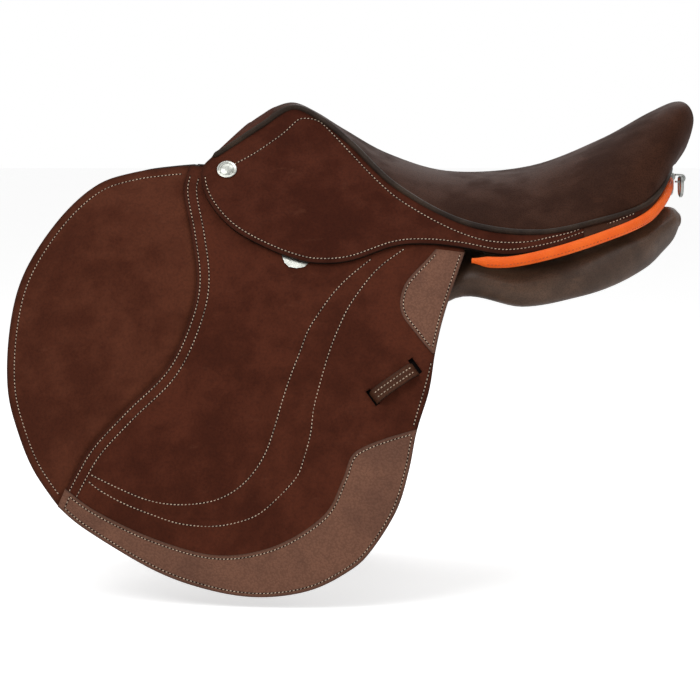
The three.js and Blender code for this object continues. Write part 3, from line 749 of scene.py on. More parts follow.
def add_bump(graph: Graph, shader: bpy.types.Node, height: object, depth: float, strength: float) -> None:
    """Feeds a height to the shader's normal.

    Args:
        graph: The material's helper.
        shader: The Principled node.
        height: The value that gives the height.
        depth: How deep the relief is in metres.
        strength: How strongly it shows, from 0 to 1.
    """
    bump = graph.node("ShaderNodeBump")
    bump.inputs["Distance"].default_value = depth
    bump.inputs["Strength"].default_value = strength
    graph.link(height, bump.inputs["Height"])
    graph.link(bump.outputs["Normal"], shader.inputs["Normal"])


def worn_edge(graph: Graph, base: object, colour: tuple, amount: float) -> object:
    """Mixes a colour in along a piece's cut edges.

    Args:
        graph: The material's helper.
        base: The colour away from the edges.
        colour: The colour at the edges.
        amount: How much of it shows, from 0 to 1.

    Returns:
        The mixed colour.
    """
    edge = graph.node("ShaderNodeAttribute", attribute_name="edge")
    return graph.mix(graph.sum("MULTIPLY", edge.outputs["Fac"], amount), base, colour)


@dataclass(frozen=True)
class Nubuck:
    """Brushed leather with a short nap, uneven in colour, and faintly scuffed."""

    name: str
    light: tuple[int, int, int]
    dark: tuple[int, int, int]
    scuff: tuple[int, int, int] = (122, 76, 56)
    band: Band = Band.STRONG

    def build(self) -> bpy.types.Material:
        """Builds the material."""
        material, graph, shader, where = start_material(self.name)
        dye = place_group(graph, GROUPS.mottle, where, Scale=1.0)
        low = graph.sum("MULTIPLY", dye.outputs["Clouds"], self.band.value)
        colour = graph.mix(low, linear(*self.light), linear(*self.dark))
        rubbed = graph.sum("MULTIPLY", dye.outputs["Scuffs"], 0.22)
        colour = graph.mix(rubbed, colour, linear(*self.scuff))
        flecks = graph.span(dye.outputs["Flecks"], 0.35, 0.75, 0, 0.3)
        colour = graph.mix(flecks, colour, linear(*[int(c * 0.62) for c in self.dark]))
        colour = worn_edge(graph, colour, linear(*[int(c * 0.5) for c in self.dark]), 0.55)
        graph.link(colour, shader.inputs["Base Color"])
        graph.link(graph.span(dye.outputs["Clouds"], 0, 1, 0.8, 0.95), shader.inputs["Roughness"])
        shader.inputs["Specular IOR Level"].default_value = 0.1
        shader.inputs["Sheen Weight"].default_value = 0.03
        shader.inputs["Sheen Roughness"].default_value = 0.5
        shader.inputs["Sheen Tint"].default_value = linear(150, 96, 74)
        nap = graph.sum("ADD", graph.noise(where, 1500, 2, 0.7),
                        graph.sum("MULTIPLY", dye.outputs["Flecks"], 1.2))
        add_bump(graph, shader, nap, 0.00022, 0.55)
        return material


@dataclass(frozen=True)
class SmoothLeather:
    """Waxed leather with fine pores, soft folds and an uneven shine."""

    name: str
    light: tuple[int, int, int]
    dark: tuple[int, int, int]
    roughness: float = 0.42
    cells: float = 900
    folds: float = 0.35
    coat: float = 0.015
    specular: float = 0.12

    def build(self) -> bpy.types.Material:
        """Builds the material."""
        material, graph, shader, where = start_material(self.name)
        dye = place_group(graph, GROUPS.mottle, where, Scale=0.8)
        grain = place_group(graph, GROUPS.pebble, where, Cells=self.cells)
        colour = graph.mix(dye.outputs["Clouds"], linear(*self.light), linear(*self.dark))
        # Painted shade: the grain's creases are darkened in colour.
        creases = graph.sum("MULTIPLY", grain.outputs["Creases"], 0.35)
        colour = graph.mix(creases, colour, linear(*[int(c * 0.55) for c in self.dark]))
        rubbed = graph.sum("MULTIPLY", dye.outputs["Scuffs"], 0.2)
        colour = graph.mix(rubbed, colour, linear(*[min(255, int(c * 1.5)) for c in self.light]))
        colour = worn_edge(graph, colour, linear(*[int(c * 0.6) for c in self.dark]), 0.5)
        graph.link(colour, shader.inputs["Base Color"])
        shine = graph.span(dye.outputs["Clouds"], 0, 1, self.roughness - 0.07, self.roughness + 0.08)
        graph.link(shine, shader.inputs["Roughness"])
        shader.inputs["Specular IOR Level"].default_value = self.specular
        shader.inputs["Coat Weight"].default_value = self.coat
        shader.inputs["Coat Roughness"].default_value = 0.3
        folds = graph.sum("MULTIPLY", graph.noise(where, 42, 3, 0.5), 6 * self.folds)
        height = graph.sum("ADD", graph.sum("MULTIPLY", grain.outputs["Height"], 0.35), folds)
        add_bump(graph, shader, height, 0.0004, 0.4)
        return material


@dataclass(frozen=True)
class GrainLeather:
    """Leather printed with a coarse pebble, as on the guard and the patch."""

    name: str
    light: tuple[int, int, int]
    dark: tuple[int, int, int]
    cells: float = 520
    roughness: float = 0.58
    # How strongly the grain's creases are darkened, as painted shade.
    creases: float = 0.3

    def build(self) -> bpy.types.Material:
        """Builds the material."""
        material, graph, shader, where = start_material(self.name)
        dye = place_group(graph, GROUPS.mottle, where, Scale=1.1)
        grain = place_group(graph, GROUPS.pebble, where, Cells=self.cells)
        colour = graph.mix(dye.outputs["Clouds"], linear(*self.light), linear(*self.dark))
        # Painted shade: the grain's creases are darkened in colour.
        creases = graph.sum("MULTIPLY", grain.outputs["Creases"], self.creases)
        colour = graph.mix(creases, colour, linear(*[int(c * 0.7) for c in self.dark]))
        colour = worn_edge(graph, colour, linear(*[int(c * 0.5) for c in self.dark]), 0.6)
        graph.link(colour, shader.inputs["Base Color"])
        shine = graph.span(grain.outputs["Height"], 0, 1, self.roughness + 0.12, self.roughness - 0.05)
        graph.link(shine, shader.inputs["Roughness"])
        shader.inputs["Specular IOR Level"].default_value = 0.2
        add_bump(graph, shader, grain.outputs["Height"], 0.00045, 0.6)
        return material


@dataclass(frozen=True)
class Thread:
    """Waxed sewing thread with a light twist."""

    name: str
    colour: tuple[int, int, int]

    def build(self) -> bpy.types.Material:
        """Builds the material."""
        material, graph, shader, where = start_material(self.name)
        dirt = graph.noise(where, 90, 3, 0.6)
        soiled = linear(*[int(c * 0.72) for c in self.colour])
        colour = graph.mix(graph.span(dirt, 0.4, 0.7), linear(*self.colour), soiled)
        graph.link(colour, shader.inputs["Base Color"])
        graph.link(graph.span(dirt, 0, 1, 0.5, 0.75), shader.inputs["Roughness"])
        twist = graph.node("ShaderNodeTexWave", wave_type="BANDS", bands_direction="DIAGONAL")
        twist.inputs["Scale"].default_value = 900
        graph.link(where, twist.inputs["Vector"])
        add_bump(graph, shader, twist.outputs["Fac"], 0.0001, 0.5)
        return material


@dataclass(frozen=True)
class Metal:
    """Plated or ground metal with fine marks."""

    name: str
    colour: tuple[int, int, int]
    roughness: float = 0.3

    def build(self) -> bpy.types.Material:
        """Builds the material."""
        material, graph, shader, where = start_material(self.name)
        marks = graph.noise(where, 220, 6, 0.7)
        dull = linear(*[int(c * 0.78) for c in self.colour])
        colour = graph.mix(graph.span(marks, 0.45, 0.7), linear(*self.colour), dull)
        graph.link(colour, shader.inputs["Base Color"])
        shine = graph.span(marks, 0.3, 0.7, self.roughness, self.roughness + 0.2)
        graph.link(shine, shader.inputs["Roughness"])
        shader.inputs["Metallic"].default_value = 1.0
        add_bump(graph, shader, marks, 0.00008, 0.3)
        return material


@dataclass(frozen=True)
class Webbing:
    """Woven tape."""

    name: str
    colour: tuple[int, int, int]
    threads: float = 3200

    def build(self) -> bpy.types.Material:
        """Builds the material."""
        material, graph, shader, where = start_material(self.name)
        weave = place_group(graph, GROUPS.weave, where, Threads=self.threads)
        shade = linear(*[int(c * 0.55) for c in self.colour])
        colour = graph.mix(weave.outputs["Height"], shade, linear(*self.colour))
        graph.link(colour, shader.inputs["Base Color"])
        graph.link(graph.span(weave.outputs["Height"], 0, 1, 0.95, 0.8), shader.inputs["Roughness"])
        add_bump(graph, shader, weave.outputs["Height"], 0.0004, 0.8)
        return material


@dataclass(frozen=True)
class Foam:
    """Cut latex foam with small open cells."""

    name: str
    colour: tuple[int, int, int]

    def build(self) -> bpy.types.Material:
        """Builds the material."""
        material, graph, shader, where = start_material(self.name)
        grain = place_group(graph, GROUPS.pebble, where, Cells=700)
        shade = linear(*[int(c * 0.7) for c in self.colour])
        colour = graph.mix(grain.outputs["Creases"], linear(*self.colour), shade)
        graph.link(colour, shader.inputs["Base Color"])
        graph.link(graph.span(grain.outputs["Height"], 0, 1, 0.98, 0.85), shader.inputs["Roughness"])
        add_bump(graph, shader, grain.outputs["Height"], 0.0006, 0.8)
        return material


@dataclass(frozen=True)
class Wood:
    """Laminated beech, as in a spring tree."""

    name: str
    light: tuple[int, int, int] = (176, 133, 88)
    dark: tuple[int, int, int] = (124, 84, 50)

    def build(self) -> bpy.types.Material:
        """Builds the material."""
        material, graph, shader, where = start_material(self.name)
        rings = graph.node("ShaderNodeTexWave", wave_type="BANDS", bands_direction="Z")
        rings.inputs["Scale"].default_value = 55
        rings.inputs["Distortion"].default_value = 5
        rings.inputs["Detail"].default_value = 3
        graph.link(where, rings.inputs["Vector"])
        graph.link(graph.mix(rings.outputs["Fac"], linear(*self.light), linear(*self.dark)),
                   shader.inputs["Base Color"])
        graph.link(graph.span(rings.outputs["Fac"], 0, 1, 0.5, 0.65), shader.inputs["Roughness"])
        add_bump(graph, shader, rings.outputs["Fac"], 0.0002, 0.4)
        return material


@dataclass(frozen=True)
class Studio:
    """The pale, even finish of the floor."""

    name: str = "studio_paper"

    def build(self) -> bpy.types.Material:
        """Builds the material."""
        material, graph, shader, where = start_material(self.name)
        tone = graph.noise(where, 3, 2, 0.5)
        graph.link(graph.mix(tone, linear(246, 246, 246), linear(243, 243, 243)), shader.inputs["Base Color"])
        shader.inputs["Roughness"].default_value = 0.95
        shader.inputs["Specular IOR Level"].default_value = 0.1
        seen = graph.node("ShaderNodeLightPath").outputs["Is Camera Ray"]
        shader.inputs["Emission Color"].default_value = (1.0, 1.0, 1.0, 1.0)
        graph.link(graph.sum("MULTIPLY", seen, 0.58), shader.inputs["Emission Strength"])
        return material


class Finishes:
    """Every finish of the saddle, built once."""

    def __init__(self) -> None:
        """Builds the materials."""
        self.nubuck = Nubuck("nubuck", (86, 41, 25), (69, 32, 20)).build()
        self.skirt = Nubuck("nubuck_skirt", (80, 37, 22), (64, 28, 17)).build()
        self.pad = Nubuck("nubuck_pad", (91, 47, 30), (74, 36, 23)).build()
        self.facing = Nubuck("suede_facing", (88, 48, 34), (58, 30, 22), band=Band.SOFT).build()
        self.seat = SmoothLeather("seat_leather", (70, 43, 31), (54, 32, 23), 0.56, coat=0.0,
                                  specular=0.04).build()
        self.panel = SmoothLeather("panel_leather", (100, 74, 57), (72, 52, 39), 0.4, folds=0.5, coat=0.05,
                                   specular=0.3).build()
        self.strap = SmoothLeather("strap_leather", (82, 50, 34), (58, 35, 24), 0.55, folds=0.2,
                                   specular=0.08).build()
        self.welt = SmoothLeather("welt_leather", (62, 48, 37), (40, 29, 23), 0.45, folds=0.1).build()
        self.cut_edge = SmoothLeather("painted_edge", (48, 36, 28), (32, 23, 18), 0.5, folds=0.1).build()
        # The crease finish is painted shade: dark strips laid in the pressed grooves under the stitch rows.
        self.crease = SmoothLeather("pressed_line_shade", (42, 20, 14), (30, 14, 10), 0.8, folds=0.1,
                                    coat=0).build()
        # A near-black finish: painted shade for the inside of the keeper's slots.
        self.slot_shade = SmoothLeather("slot_inside_shade", (16, 10, 8), (10, 6, 5), 0.9, folds=0.1, coat=0).build()
        self.grain = GrainLeather("grain_leather", (124, 84, 65), (108, 72, 56)).build()
        self.trim = GrainLeather("trim_leather", (255, 112, 34), (248, 98, 24), 900, 0.42, 0.06).build()
        self.thread = Thread("pale_thread", (214, 188, 162)).build()
        self.trim_thread = Thread("trim_thread", (226, 92, 32)).build()
        self.silver = Metal("polished_nickel", (214, 216, 208), 0.24).build()
        self.steel = Metal("plated_steel", (196, 198, 194), 0.32).build()
        self.web = Webbing("cotton_web", (196, 184, 156)).build()
        self.foam = Foam("latex_foam", (214, 202, 170)).build()
        self.wood = Wood("beech_ply").build()
        self.studio = Studio().build()


FINISH = Finishes()


def dress(obj: bpy.types.Object, *materials: bpy.types.Material) -> bpy.types.Object:
    """Gives an object its materials, in order."""
    obj.data.materials.clear()
    for material in materials:
        obj.data.materials.append(material)
    return obj


def report(obj: bpy.types.Object, slot: str) -> bpy.types.Object:
    """Names the record's slot of a piece and logs it."""
    LOG.info("%s: %d faces, %s", obj.name, len(obj.data.polygons), slot)
    return obj


# ---------------------------------------------------------------------------
# Leather on the sides
# ---------------------------------------------------------------------------


def radial_sheet(outline: Points, centre: tuple[float, float], rings: Sequence[float], depth: Depth,
                 side: Side, edge_width: float = 4) -> Shell:
    """A sheet of leather cut to a closed outline, in rings round its centre.

    Args:
        outline: The cut edge as X and Z, without its first point repeated.
        centre: The X and Z of the centre.
        rings: The rings' sizes, from near 0 to 1 at the edge.
        depth: The depth of the sheet's outer face at each X and Z.
        side: Which side it is on.
        edge_width: How far in the worn edge reaches, in millimetres.

    Returns:
        The open surface, facing outwards.
    """
    middle = np.array(centre, float)
    loops = [middle + (outline - middle) * r for r in rings]
    flat = np.vstack([middle[None], *loops])
    count = len(outline)
    faces = []
    for j in range(count):
        k = (j + 1) % count
        faces.append([0, 1 + j, 1 + k])
        for i in range(len(rings) - 1):
            a, b = 1 + i * count, 1 + (i + 1) * count
            faces.append([a + j, b + j, b + k, a + k])
    x, z = flat[:, 0], flat[:, 1]
    points = SIDES.point(x, z, depth(x, z), side)
    away = distance_to(np.vstack([outline, outline[:1]]), x, z)
    shell = Shell()
    shell.add(points, facing(points, faces, SIDES.outward(x, z, side)), np.clip(1 - away / edge_width, 0, 1))
    return shell


def strip_sheet(top: Points, bottom: Points, rows: int, depth: Depth, side: Side,
                edge_width: float = 4) -> Shell:
    """A sheet of leather between two lines on a side.

    Args:
        top: One cut edge as X and Z.
        bottom: The other, with as many points.
        rows: How many rows of faces lie between them.
        depth: The depth of the sheet's outer face at each X and Z.
        side: Which side it is on.
        edge_width: How far in the worn edge reaches, in millimetres.

    Returns:
        The open surface, facing outwards.
    """
    share = np.linspace(0, 1, rows + 1)
    share = (share + ease(share, 0, 1)) / 2
    flat = np.vstack([top + (bottom - top) * s for s in share])
    x, z = flat[:, 0], flat[:, 1]
    points = SIDES.point(x, z, depth(x, z), side)
    faces = facing(points, grid_faces(rows + 1, len(top)), SIDES.outward(x, z, side))
    away = np.minimum(distance_to(top, x, z), distance_to(bottom, x, z))
    shell = Shell()
    shell.add(points, faces, np.clip(1 - away / edge_width, 0, 1))
    return shell


def flat_depth(value: float) -> Depth:
    """A depth that is the same everywhere."""
    return lambda x, z: np.full(np.shape(x), value)


@dataclass(frozen=True)
class Stitching:
    """Rows of sewn stitches, each a small closed body lying in a pressed line, over a dark strip of painted groove
    shade.
    """

    pitch: float = 3.3
    length: float = 2.35
    radius: float = 0.46
    slant: float = 0.16
    # Half the width of the dark strip of painted groove shade.
    groove: float = 0.75

    def along(self, shell: Shell, line: Points, height: Callable[[Points], tuple[Points, Points]]) -> None:
        """Adds a row of stitches.

        Args:
            shell: The mesh that the stitches are added to.
            line: The row's path in the surface's own two numbers.
            height: Turns rows of the path into points in space and their outward directions.
        """
        count = max(2, int(round(line_length(line) / self.pitch)))
        ends = resample(line, count * 8 + 1)
        middles = ends[4::8]
        heads, tails = ends[5::8], ends[3::8]
        at, out = height(middles)
        ahead, _ = height(heads)
        behind, _ = height(tails)
        way = ahead[: len(at)] - behind[: len(at)]
        way /= np.maximum(np.linalg.norm(way, axis=1)[:, None], 1e-9)
        across = np.cross(out, way)
        way = way * math.cos(self.slant) + across * math.sin(self.slant)
        across = np.cross(out, way)
        angle = np.linspace(0, 2 * math.pi, 6, endpoint=False)
        for p, w, a, o in zip(at, way, across, out):
            ring = [a * math.cos(t) * self.radius + o * math.sin(t) * self.radius for t in angle]
            half = self.length / 2
            points = [p - w * half - o * 0.25]
            points += [p - w * half * 0.55 + r for r in ring]
            points += [p + w * half * 0.55 + r for r in ring]
            points += [p + w * half - o * 0.25]
            faces = [[0, 1 + (j + 1) % 6, 1 + j] for j in range(6)]
            faces += [[1 + j, 1 + (j + 1) % 6, 7 + (j + 1) % 6, 7 + j] for j in range(6)]
            faces += [[13, 7 + j, 7 + (j + 1) % 6] for j in range(6)]
            shell.add(np.array(points), faces)

    def shade_strip_along(self, shell: Shell, line: Points,
                     height: Callable[[Points], tuple[Points, Points]]) -> None:
        """Adds a thin closed dark strip under a row of stitches: painted shade of the pressed groove."""
        path = resample(line, max(3, int(line_length(line) / 4)))
        at, out = height(path)
        way = np.gradient(at, axis=0)
        way /= np.maximum(np.linalg.norm(way, axis=1)[:, None], 1e-9)
        across = np.cross(out, way) * self.groove
        ring = np.stack([at - across - out * 0.2, at - across * 0.6 + out * 0.1,
                         at + across * 0.6 + out * 0.1,
                         at + across - out * 0.2], 1)
        count = len(path)
        faces = []
        for i in range(count - 1):
            for j in range(4):
                faces.append([i * 4 + j, i * 4 + (j + 1) % 4, (i + 1) * 4 + (j + 1) % 4, (i + 1) * 4 + j])
        faces += [[0, 3, 2, 1], [(count - 1) * 4 + j for j in range(4)]]
        shell.add(ring.reshape(-1, 3), faces)


STITCH = Stitching()


def on_side(depth: Depth, side: Side) -> Callable[[Points], tuple[Points, Points]]:
    """A function that puts rows of X and Z on a side, at a depth.

    Args:
        depth: The depth at each X and Z.
        side: Which side it is.

    Returns:
        The function, which gives points and outward directions.
    """
    def place(flat: Points) -> tuple[Points, Points]:
        """Places rows of X and Z."""
        x, z = flat[:, 0], flat[:, 1]
        return SIDES.point(x, z, depth(x, z), side), SIDES.outward(x, z, side)

    return place


def stitches(name: str, rows: Sequence[Points], height: Callable[[Points], tuple[Points, Points]],
             material: bpy.types.Material, groove: bool = True) -> list[bpy.types.Object]:
    """Makes the stitches of one piece, and the dark strips of painted groove shade that they lie in.

    Args:
        name: The name of the stitches.
        rows: The path of each row.
        height: Turns rows of a path into points and outward directions.
        material: The thread's finish.
        groove: Whether the strips of painted groove shade are made.

    Returns:
        The stitches' object, and the painted shade strips' object if there is one.
    """
    thread, lines = Shell(), Shell()
    for row in rows:
        STITCH.along(thread, row, height)
        STITCH.shade_strip_along(lines, row, height)
    made = []
    # The second shell holds the strips of painted groove shade, in the dark crease finish.
    for shell, label, finish in ((thread, name, material), (lines, f"{name}_line", FINISH.crease)):
        if shell is lines and not groove:
            continue
        obj = shell.to_object(label, 70)
        tidy_normals(obj)
        made.append(dress(obj, finish))
    return made


def inset(line: Points, amount: float) -> Points:
    """Moves a line sideways in its own plane, to its left for a positive amount."""
    way = np.gradient(line, axis=0)
    way /= np.maximum(np.linalg.norm(way, axis=1)[:, None], 1e-9)
    return line + np.stack([-way[:, 1], way[:, 0]], 1) * amount


@dataclass(frozen=True)
class Fold:
    """Where a leather piece meets the frame and its own body; the piece is not bent there."""

    front: tuple[float, float]
    rear: tuple[float, float]
    depth: float
    above: float
    below: float

    def bend(self, obj: bpy.types.Object, side: Side) -> None:
        """Works out the fold's axis and the way down from it, but only bakes the piece's transform into its mesh;
        the piece is not bent.

        Args:
            obj: The piece, without a parent.
            side: Which side the piece is on.
        """
        ends = np.array([self.front, self.rear], float)
        a, b = SIDES.point(ends[:, 0], ends[:, 1], self.depth, side)
        axis = (b - a) / np.linalg.norm(b - a)
        mid = ends.mean(0)
        low = SIDES.point([mid[0]], [mid[1] - 6], self.depth, side)[0]
        high = SIDES.point([mid[0]], [mid[1] + 6], self.depth, side)[0]
        down = low - high
        down -= axis * float(np.dot(down, axis))
        down /= np.linalg.norm(down)
        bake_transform(obj)


SKIRT_FOLD = Fold((-213, 116), (10, 57), 2.3, 1.5, 7)
FLAP_FOLD = Fold((-213, 56), (30, -2.5), 4.2, 6, 6)


@dataclass
class Flap:
    """The main flap with its stitched curve, guard, rear patch, keeper and padded front."""

    side: Side
    depth: float = 6.0
    thick: float = 2.6
    pad_depth: float = 6.2
    pad_rise: float = 3.6
    pad_tuck: float = 5.0
    pad_thick: float = 3.2
    patch_depth: float = 4.9
    patch_thick: float = 1.1
    keeper_at: tuple[float, float] = (-36, -63)
    keeper_turn: float = 36
    keeper_width: float = 13
    keeper_span: float = 44
    keeper_clear: float = 6.8

    @property
    def body(self) -> str:
        """The body that the lower flap moves with."""
        return f"flap_{self.side.tag}"

    def bends(self, obj: bpy.types.Object, slot: str, *nodes: str) -> None:
        """Bakes a piece's transform, without bending it at the flap's fold, and names what it stands for."""
        FLAP_FOLD.bend(obj, self.side)
        if nodes:
            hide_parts(*[f"{n}_{self.side.tag}" for n in nodes])
        report(obj, slot)

    def rides(self, obj: bpy.types.Object, slot: str, *nodes: str) -> None:
        """Fixes a piece to the lower flap, and names what it stands for."""
        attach(obj, self.body)
        if nodes:
            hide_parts(*[f"{n}_{self.side.tag}" for n in nodes])
        report(obj, slot)

    def outline(self) -> Points:
        """The main flap's cut edge, as a closed run of X and Z."""
        seam, bottom = spline(SEAM), spline(FLAP_BOTTOM)
        runs = [resample(run, max(2, int(line_length(run) / 3.2)))[:-1] for run in (
            seam, bottom, np.array([(28, 50), (25, 66)], float), np.array([(25, 66), (-203, 126)], float),
            np.array([(-203, 126), (-221, 127)], float))]
        return np.vstack(runs)

    def face(self, x: Points, z: Points) -> Points:
        """The depth of the flap's outer face, slightly full between its edges."""
        away = np.minimum(distance_to(spline(SEAM, 3), x, z), distance_to(spline(FLAP_BOTTOM, 3), x, z))
        inner = distance_to(spline(CURVE_INNER, 3), x, z)
        outer = distance_to(spline(CURVE_OUTER, 3), x, z)
        pressed = 0.5 * np.exp(-((np.minimum(inner, outer) / 5.0) ** 2))
        return self.depth - 0.9 * ease(away, 2, 40) * (1 - ease(z, -10, 40)) + pressed * (1 - ease(z, 20, 50))

    def pad_face(self, x: Points, z: Points) -> Points:
        """The depth of the padded front's outer face: a rim, then a soft rise, tucked under the seam."""
        rim = distance_to(spline(PAD_FRONT, 3), x, z)
        seam = distance_to(spline(SEAM, 3), x, z)
        rise = ease(rim, 7.5, 36) * ease(seam, 4, 34)
        groove = 0.7 * np.exp(-(((rim - 7) / 1.8) ** 2))
        under = self.depth + self.thick + 0.2 - self.pad_depth
        tuck = under * (1 - ease(seam + self.pad_tuck * self.over(x, z), 5, 10))
        return self.pad_depth - self.pad_rise * rise + groove + np.maximum(tuck, 0)

    def over(self, x: Points, z: Points) -> Points:
        """1 in front of the seam and -1 behind it, for each place."""
        line = spline(SEAM, 3)
        order = np.argsort(line[:, 1])
        return np.where(np.ravel(x) < np.interp(np.ravel(z), line[order, 1], line[order, 0]), 1.0, -1.0).reshape(
            np.shape(x))

    def build_main(self) -> bpy.types.Object:
        """Makes the main flap with its bar window and the keeper's slots."""
        rings = [0.06, 0.14, 0.24, 0.34, 0.44, 0.53, 0.61, 0.68, 0.74, 0.79, 0.835, 0.87, 0.9, 0.925, 0.947, 0.966,
                 0.982, 0.993, 1.0]
        shell = radial_sheet(self.outline(), (-130, -80), rings, self.face, self.side)
        obj = dress(shell.to_object(f"flap_leather_{self.side.tag}"), FINISH.nubuck, FINISH.cut_edge)
        thicken(obj, self.thick, 0.7)
        cut(obj, self.openings())
        self.bends(obj, "nubuck", "flap_upper", "flap")
        return obj

    def openings(self) -> bpy.types.Object:
        """Makes the tool that cuts the bar's window and the keeper's two slots."""
        shell = Shell()
        window = [(-165, 61), (-70, 61), (-70, 82), (-105, 94), (-165, 94)]
        turn = math.radians(self.keeper_turn)
        slots = []
        for end in (-1, 1):
            middle = end * (self.keeper_span / 2 + 1.1)
            corners = []
            for u, v in ((-2.3, -7.7), (2.3, -7.7), (2.3, 7.7), (-2.3, 7.7)):
                along, across = middle + u, v
                corners.append((self.keeper_at[0] + along * math.cos(turn) - across * math.sin(turn),
                                self.keeper_at[1] + along * math.sin(turn) + across * math.cos(turn)))
            slots.append(corners)
        for corners in (window, *slots):
            n = len(corners)
            near = [(x, self.side.value * 60, z) for x, z in corners]
            far = [(x, self.side.value * 260, z) for x, z in corners]
            faces = [list(range(n))[::-1], list(range(n, 2 * n))]
            faces += [[i, (i + 1) % n, n + (i + 1) % n, n + i] for i in range(n)]
            shell.add(np.array(near + far, float), faces)
        tool = shell.to_object("cutter")
        tidy_normals(tool)
        return tool

    def build_pad(self) -> bpy.types.Object:
        """Makes the padded front of the flap."""
        seam = resample(spline(SEAM), 90)
        behind = inset(seam, self.pad_tuck)
        if behind[:, 0].mean() < seam[:, 0].mean():
            behind = inset(seam, -self.pad_tuck)
        behind[0], behind[-1] = seam[0] + (2, -1), seam[-1] + (3, 1)
        front = spline(PAD_FRONT)
        front = resample(front, int(line_length(front) / 3.2))
        outline = np.vstack([front[:-1], behind[:-1]])
        rings = [0.1, 0.22, 0.34, 0.45, 0.55, 0.64, 0.72, 0.78, 0.83, 0.87, 0.9, 0.925, 0.945, 0.96, 0.975, 0.988, 1]
        shell = radial_sheet(outline, (-295, -10), rings, self.pad_face, self.side)
        obj = dress(shell.to_object(f"knee_pad_leather_{self.side.tag}"), FINISH.pad, FINISH.cut_edge)
        thicken(obj, self.pad_thick, 0.8)
        self.bends(obj, "nubuck", "knee_pad_upper", "knee_pad")
        return obj

    def build_patches(self) -> None:
        """Makes the guard along the bottom and the patch behind the leg, with their stitches."""
        bottom = spline(FLAP_BOTTOM, 12)
        end = int(np.argmin(np.hypot(bottom[:, 0] + 17, bottom[:, 1] + 104)))
        low, top = resample(bottom[: end + 1], 150), resample(spline(GUARD_TOP, 12), 150)
        shell = strip_sheet(top, low, 10, flat_depth(self.patch_depth), self.side, 2.5)
        guard = dress(shell.to_object(f"guard_leather_{self.side.tag}"), FINISH.grain, FINISH.cut_edge)
        merge(guard)
        thicken(guard, self.patch_thick, 0.35)
        self.rides(guard, "grain_leather", "guard")
        rows = [inset(top, -3.2)[3:-2], inset(low, 3.4)[2:-2]]
        rows.append(np.array([rows[0][0], rows[1][0]]))
        for obj in stitches(f"guard_stitches_{self.side.tag}", rows,
                            on_side(flat_depth(self.patch_depth - 0.05), self.side), FINISH.thread):
            self.rides(obj, "grain_leather")
        rear = bottom[bottom[:, 1] > -39]
        rear = rear[rear[:, 0] > -6]
        front, back = resample(spline(PATCH_FRONT, 12), 60), resample(rear[::-1], 60)
        shell = strip_sheet(front, back, 8, flat_depth(self.patch_depth), self.side, 2.5)
        patch = dress(shell.to_object(f"rear_patch_leather_{self.side.tag}"), FINISH.grain, FINISH.cut_edge)
        merge(patch)
        thicken(patch, self.patch_thick, 0.35)
        self.bends(patch, "grain_leather", "rear_patch_upper", "rear_patch")
        edge = inset(front, 3.0)[2:-3]
        tail = inset(back, -3.2)[2:-3]
        for obj in stitches(f"rear_patch_stitches_{self.side.tag}", [edge, tail],
                            on_side(flat_depth(self.patch_depth - 0.05), self.side), FINISH.thread):
            self.bends(obj, "grain_leather")

    def build_stitches(self) -> None:
        """Makes the flap's seam rows, its stitched curves and the padded front's rows."""
        seam = resample(spline(SEAM), 160)[4:-3]
        way = 1 if inset(seam, 1)[:, 0].mean() > seam[:, 0].mean() else -1
        rows = [inset(seam, way * 3.5), inset(seam, way * 11.5)[:-4], spline(CURVE_INNER),
                spline(CURVE_OUTER), spline(REAR_EDGE_ROW)]
        for obj in stitches(f"flap_stitches_{self.side.tag}", rows,
                            on_side(lambda x, z: self.face(x, z) - 0.1, self.side), FINISH.thread):
            self.bends(obj, "nubuck")
        front = resample(spline(PAD_FRONT), 160)[3:-3]
        into = 1 if abs(inset(front, 1)[:, 0].mean() + 280) < abs(front[:, 0].mean() + 280) else -1
        for obj in stitches(f"knee_pad_stitches_{self.side.tag}", [inset(front, into * 7.0)],
                            on_side(lambda x, z: self.pad_face(x, z) - 0.1, self.side), FINISH.thread):
            self.bends(obj, "nubuck")

    def build_backing(self) -> None:
        """Makes a near-black sheet just behind the flap: painted shade that shows through the keeper's slots."""
        turn = math.radians(self.keeper_turn)
        along = np.array([math.cos(turn), math.sin(turn)])
        across = np.array([-math.sin(turn), math.cos(turn)])
        middle = np.array(self.keeper_at, float)
        span = np.linspace(-29, 28, 30)[:, None] * along + middle
        # The sheet sits just behind the flap, so the slots show it as their painted shade.
        behind = flat_depth(self.depth + self.thick + 0.3)
        shell = strip_sheet(span + across * 9.5, span - across * 9.5, 6, behind, self.side)
        obj = dress(shell.to_object(f"keeper_backing_{self.side.tag}"), FINISH.slot_shade)
        thicken(obj, 1.2, 0.3)
        self.rides(obj, "strap")

    def build_keeper(self) -> None:
        """Makes the leather keeper whose ends go down into the flap, with its two rows of stitches."""
        reach, face = self.keeper_span / 2, self.depth - 0.3
        top = self.keeper_clear - face
        profile = spline([(-reach - 1, -self.depth - 2.4), (-reach - 1, top - 7), (-reach + 2, top - 1.6),
                          (-reach + 9, top + 0.8), (0, top + 1.2), (reach - 9, top + 0.8), (reach - 2, top - 1.6),
                          (reach + 1, top - 7), (reach + 1, -self.depth - 2.4)], 6)
        x0, z0 = self.keeper_at
        origin = SIDES.point([x0], [z0], 0, self.side)[0]
        out = SIDES.outward([x0], [z0], self.side)[0]
        rear = SIDES.point([x0 + 1], [z0], 0, self.side)[0] - origin
        rear -= out * float(np.dot(rear, out))
        rear /= np.linalg.norm(rear)
        up = np.cross(out, rear) * (1 if self.side is Side.LEFT else -1)
        turn = math.radians(self.keeper_turn)
        along = rear * math.cos(turn) + up * math.sin(turn)
        across = -rear * math.sin(turn) + up * math.cos(turn)

